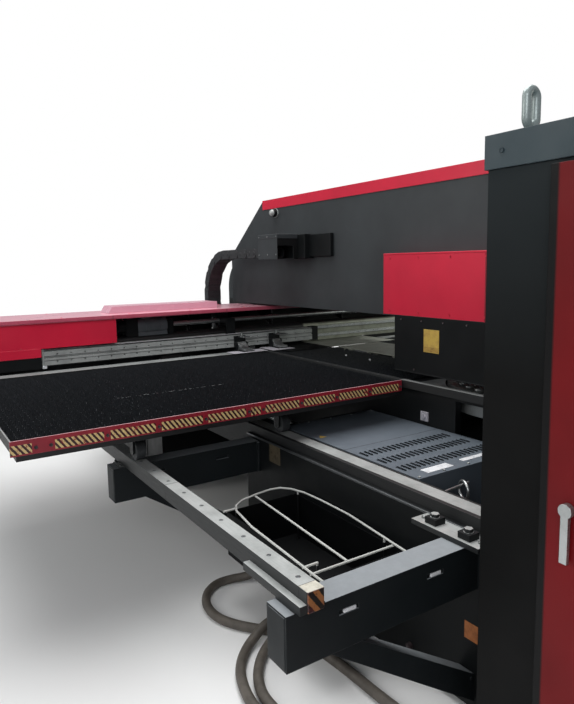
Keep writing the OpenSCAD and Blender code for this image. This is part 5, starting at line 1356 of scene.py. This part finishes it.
def dressCabinet(c):
    low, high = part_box("cabinet_body")
    doorLow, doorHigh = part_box("cabinet_door")
    (pitchY, pitchZ), (long, tall) = c["ventPitch"], c["vent"]
    vents = []
    for i in range(c["ventRows"]):
        z = doorLow[2] + c["ventFrom"] + i * pitchZ
        for k in range(c["ventColumns"]):
            y = doorLow[1] + c["ventFrom"] + k * pitchY
            vents.append(((doorLow[0] - 0.0035, y, z), (doorLow[0] + 0.001, y + long, z + tall), 0.003, 2))
    blockPiece("doorVents", vents, "doorRed", "door")
    a, b = c["gasket"]
    x, (y0, z0), (y1, z1) = doorHigh[0], doorLow[1:], doorHigh[1:]
    strips = [(y0 + a, y1 - a, z0 + a, z0 + b), (y0 + a, y1 - a, z1 - b, z1 - a),
              (y0 + a, y0 + b, z0 + a, z1 - a), (y1 - b, y1 - a, z0 + a, z1 - a)]
    blockPiece("doorGasket", [((x - 0.0002, ya, za), (x + 0.0006, yb, zb)) for ya, yb, za, zb in strips],
               "rollerRubber", "door")
    z0, z1 = c["coverZ"]
    left, right, thick = low[0] + c["coverIn"], high[0] - c["coverIn"], c["coverThick"]
    sheets = [((left, high[1], z0), (right, high[1] + thick, z1), 0.0015, 2),
              ((left, low[1] - thick, z0), (right, low[1], z1), 0.0015, 2)]
    for i in range(c["slots"]):
        z = c["slotFrom"] + i * c["slotPitch"]
        sheets.append(((low[0] + c["slotIn"], high[1], z),
                       (high[0] - c["slotIn"], high[1] + 0.0060, z + 0.007), 0.0024, 2))
    blockPiece("cabinetPanels", sheets, "cabinetBlack", "machine")
    bm = bmesh.new()
    for x in (left + 0.015, right - 0.015):
        for z in c["coverScrews"]:
            addScrew(bm, (x, high[1] + thick, z), (0, 1, 0), *c["coverScrew"])
            addScrew(bm, (x, low[1] - thick, z), (0, -1, 0), *c["coverScrew"])
    capLow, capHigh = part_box("cabinet_cap")
    end, down = c["capScrewIn"]
    for y in (capLow[1] + end, (capLow[1] + capHigh[1]) / 2, capHigh[1] - end):
        addScrew(bm, (capLow[0], y, capHigh[2] - down), (-1, 0, 0), *c["capScrew"])
        addScrew(bm, (capHigh[0], y, capHigh[2] - down), (1, 0, 0), *c["capScrew"])
    newPiece("cabinetScrews", bm, "capGrey", "machine")


dressCabinet(cabinet)


# lifting eyes: long thick loops on round collars
eyes = {
    "wide": 0.058,
    "rod": 0.0108,
    "tall": 0.109,
    "steps": 24,
    "fromSideX": 0.026,
    "fromSideY": 0.022,
    "collar": 0.022,
    "collarTall": 0.009,
}


def dressEyes(e):
    low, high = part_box("lifting_eyes")
    foot = Vector((low[0] + e["fromSideX"], low[1] + e["fromSideY"], low[2]))
    shifts = [(x, y, 0) for x in (0, high[0] - low[0] - 2 * e["fromSideX"])
              for y in (0, high[1] - low[1] - 2 * e["fromSideY"])]
    bend = e["wide"] / 2 - e["rod"]
    middle = foot + Vector((0, 0, e["collarTall"] / 2 + e["wide"] / 2))
    bm = bmesh.new()
    # a ring whose upper half is drawn up
    turn = Matrix.Rotation(math.pi / e["steps"], 4, "Y")
    matrix = Matrix.Translation(middle) @ turn @ Matrix.Translation((bend, 0, 0))
    bmesh.ops.create_circle(bm, cap_ends=False, segments=14, radius=e["rod"], matrix=matrix)
    bmesh.ops.spin(bm, geom=bm.verts[:] + bm.edges[:], cent=middle, axis=(0, 1, 0), angle=2 * math.pi,
                   steps=e["steps"], use_merge=True)
    bmesh.ops.remove_doubles(bm, verts=bm.verts, dist=1e-6)
    upper = [v for v in bm.verts if v.co.z > middle.z]
    bmesh.ops.translate(bm, verts=upper, vec=(0, 0, e["tall"] - e["collarTall"] / 2 - e["wide"]))
    bmesh.ops.recalc_face_normals(bm, faces=bm.faces)
    ring = bm.verts[:] + bm.edges[:] + bm.faces[:]
    for shift in shifts[1:]:
        copy = bmesh.ops.duplicate(bm, geom=ring)
        verts = [g for g in copy["geom"] if isinstance(g, bmesh.types.BMVert)]
        bmesh.ops.translate(bm, verts=verts, vec=shift)
    loops = newPiece("eyeLoops", bm, "eyeSteel", "machine", smooth=True)
    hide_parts("lifting_eyes")
    bm = bmesh.new()
    for shift in shifts:
        addRound(bm, foot + Vector(shift), (0, 0, 1), e["collar"], e["collarTall"], 28, e["collar"] - 0.0015)
    newPiece("eyeCollars", bm, "eyeSteel", "machine")


dressEyes(eyes)


# centre table: white studs between the brush rows, edge screws, a shelf behind it under the beam, pale in
# one part and near-black in the other as painted shade
centre = {
    "studX": -0.245,
    "studY": (0.438, 0.681),
    "studFoot": 0.896,
    "stud": (0.007, 0.030, 16, 0.006),
    "edgeScrews": 14,
    "edgeScrewIn": 0.06,
    "edgeScrewX": (-0.557, 0.557),
    "edgeScrew": (0.0065, 0.0008, 16),
    "edgeScrewSunk": 0.0004,
    "covered": (-0.670, 0.52),      # no screws under the turret covers: middle and half length
    "shelfY": (1.064, 1.600),
    "shelfZ": (0.9250, 0.9262),
    "shelfPale": (-0.075, 0.560),
    "shelfDark": (-0.450, -0.076),
}


def dressCentre(c):
    bm = bmesh.new()
    for y in c["studY"]:
        addRound(bm, (c["studX"], y, c["studFoot"]), (0, 0, 1), *c["stud"])
    newPiece("tableStuds", bm, "whitePlate", "machine")
    low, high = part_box("centre_table")
    middle, half = c["covered"]
    bm = bmesh.new()
    for y in spread(low[1], high[1], c["edgeScrews"], c["edgeScrewIn"]):
        if abs(y - middle) > half:
            for x in c["edgeScrewX"]:
                addRound(bm, (x, y, high[2] - c["edgeScrewSunk"]), (0, 0, 1), *c["edgeScrew"])
    newPiece("edgeScrews", bm, "toolSteel", "machine")
    (y0, y1), (z0, z1) = c["shelfY"], c["shelfZ"]
    # the near-black part of the shelf stands for the shade under the beam
    for name, (x0, x1), finish, slotName in (("rearShelf", c["shelfPale"], "flapSteel", "machine_steel"),
                                             ("rearShelfDark", c["shelfDark"], "trayBlack", "black_paint")):
        blockPiece(name, [((x0, y0, z0), (x1, y1, z1), 0.0004, 1)], finish, "machine")


dressCentre(centre)
print("outriggers, chain, cabinet and tables dressed")


# white studio: a pale floor that fades to white, a large soft box overhead and three weaker ones
studio = {
    "backdrop": "#ffffff",
    "reflected": "#b9bcc0",
    "ambient": "#c9cdd2",
    "ambientStrength": 0.42,
    "mirrorStrength": 0.6,
    "floor": "#e9e9e8",
    "floorSize": 40.0,
    "fadeFrom": 3.8,        # from the middle of the floor
    "fadeTo": 7.5,
    "floorRough": 0.8,
    "boxes": [
        # name, place, aimed at, size, watts, colour
        ("overhead", (-1.0, 0.6, 5.2), (-0.9, 0.4, 0.0), (5.0, 4.2), 340, "#ffffff"),
        ("behindCamera", (-5.6, -4.6, 3.4), (-0.6, 0.4, 0.7), (3.2, 2.4), 120, "#fbfcff"),
        ("leftSide", (-7.0, 3.0, 3.2), (-1.2, 1.0, 0.9), (3.0, 2.4), 95, "#fffdf8"),
        ("farSide", (6.2, -2.5, 2.3), (0.1, 0.9, 1.02), (2.6, 1.6), 105, "#fbfff4"),
    ],
}


def makeWorld(s):
    world = bpy.data.worlds.new("studio")
    bpy.context.scene.world = world
    world.use_nodes = True
    tree = world.node_tree
    tree.nodes.clear()
    seen, glossy, through = [addNode(tree, "LightPath", output=ray)
                             for ray in ("Is Camera Ray", "Is Glossy Ray", "Is Transmission Ray")]
    shine = addNode(tree, "Math", {0: glossy, 1: through}, operation="MAXIMUM")
    # what lights the press, what its gloss mirrors and what the camera sees
    light, mirror, plain = [
        addNode(tree, "Background", {"Color": linearColour(colour), "Strength": strength})
        for colour, strength in ((s["ambient"], s["ambientStrength"]), (s["reflected"], s["mirrorStrength"]),
                                 (s["backdrop"], 1.0))]
    lit = addNode(tree, "MixShader", {0: shine, 1: light, 2: mirror})
    shown = addNode(tree, "MixShader", {0: seen, 1: lit, 2: plain})
    addNode(tree, "OutputWorld", {"Surface": shown})


def makeFloor(s):
    material, tree, place = startMaterial("studioFloor")
    # away from the press the camera sees plain white, which sheds no light
    away = addNode(tree, "VectorMath", {0: place}, "Value", operation="LENGTH")
    far = addNode(tree, "MapRange", {0: away, 1: s["fadeFrom"], 2: s["fadeTo"]})
    seen = addNode(tree, "LightPath", output="Is Camera Ray")
    fade = addNode(tree, "Math", {0: far, 1: seen}, operation="MULTIPLY")
    finishMaterial(material, tree, {
        "Base Color": layer(tree, linearColour(s["floor"]), "#000000", fade),
        "Roughness": s["floorRough"],
        "Emission Color": linearColour(s["backdrop"]),
        "Emission Strength": fade})
    bm = bmesh.new()
    bmesh.ops.create_grid(bm, x_segments=1, y_segments=1, size=s["floorSize"] / 2)
    mesh = bpy.data.meshes.new("studioFloor")
    bm.to_mesh(mesh)
    bm.free()
    mesh.materials.append(material)
    floor = bpy.data.objects.new("studioFloor", mesh)
    bpy.context.scene.collection.objects.link(floor)


def makeBoxes(s):
    for name, place, target, size, watts, colour in s["boxes"]:
        data = bpy.data.lights.new(name, "AREA")
        data.shape = "RECTANGLE"
        data.size, data.size_y = size
        data.energy = watts
        data.color = linearColour(colour)[:3]
        box = bpy.data.objects.new(name, data)
        bpy.context.scene.collection.objects.link(box)
        box.location = place
        box.rotation_euler = (Vector(target) - Vector(place)).to_track_quat("-Z", "Y").to_euler()


makeWorld(studio)
makeFloor(studio)
makeBoxes(studio)
print("studio ready")

bpy.context.scene.view_settings.view_transform = "Standard"
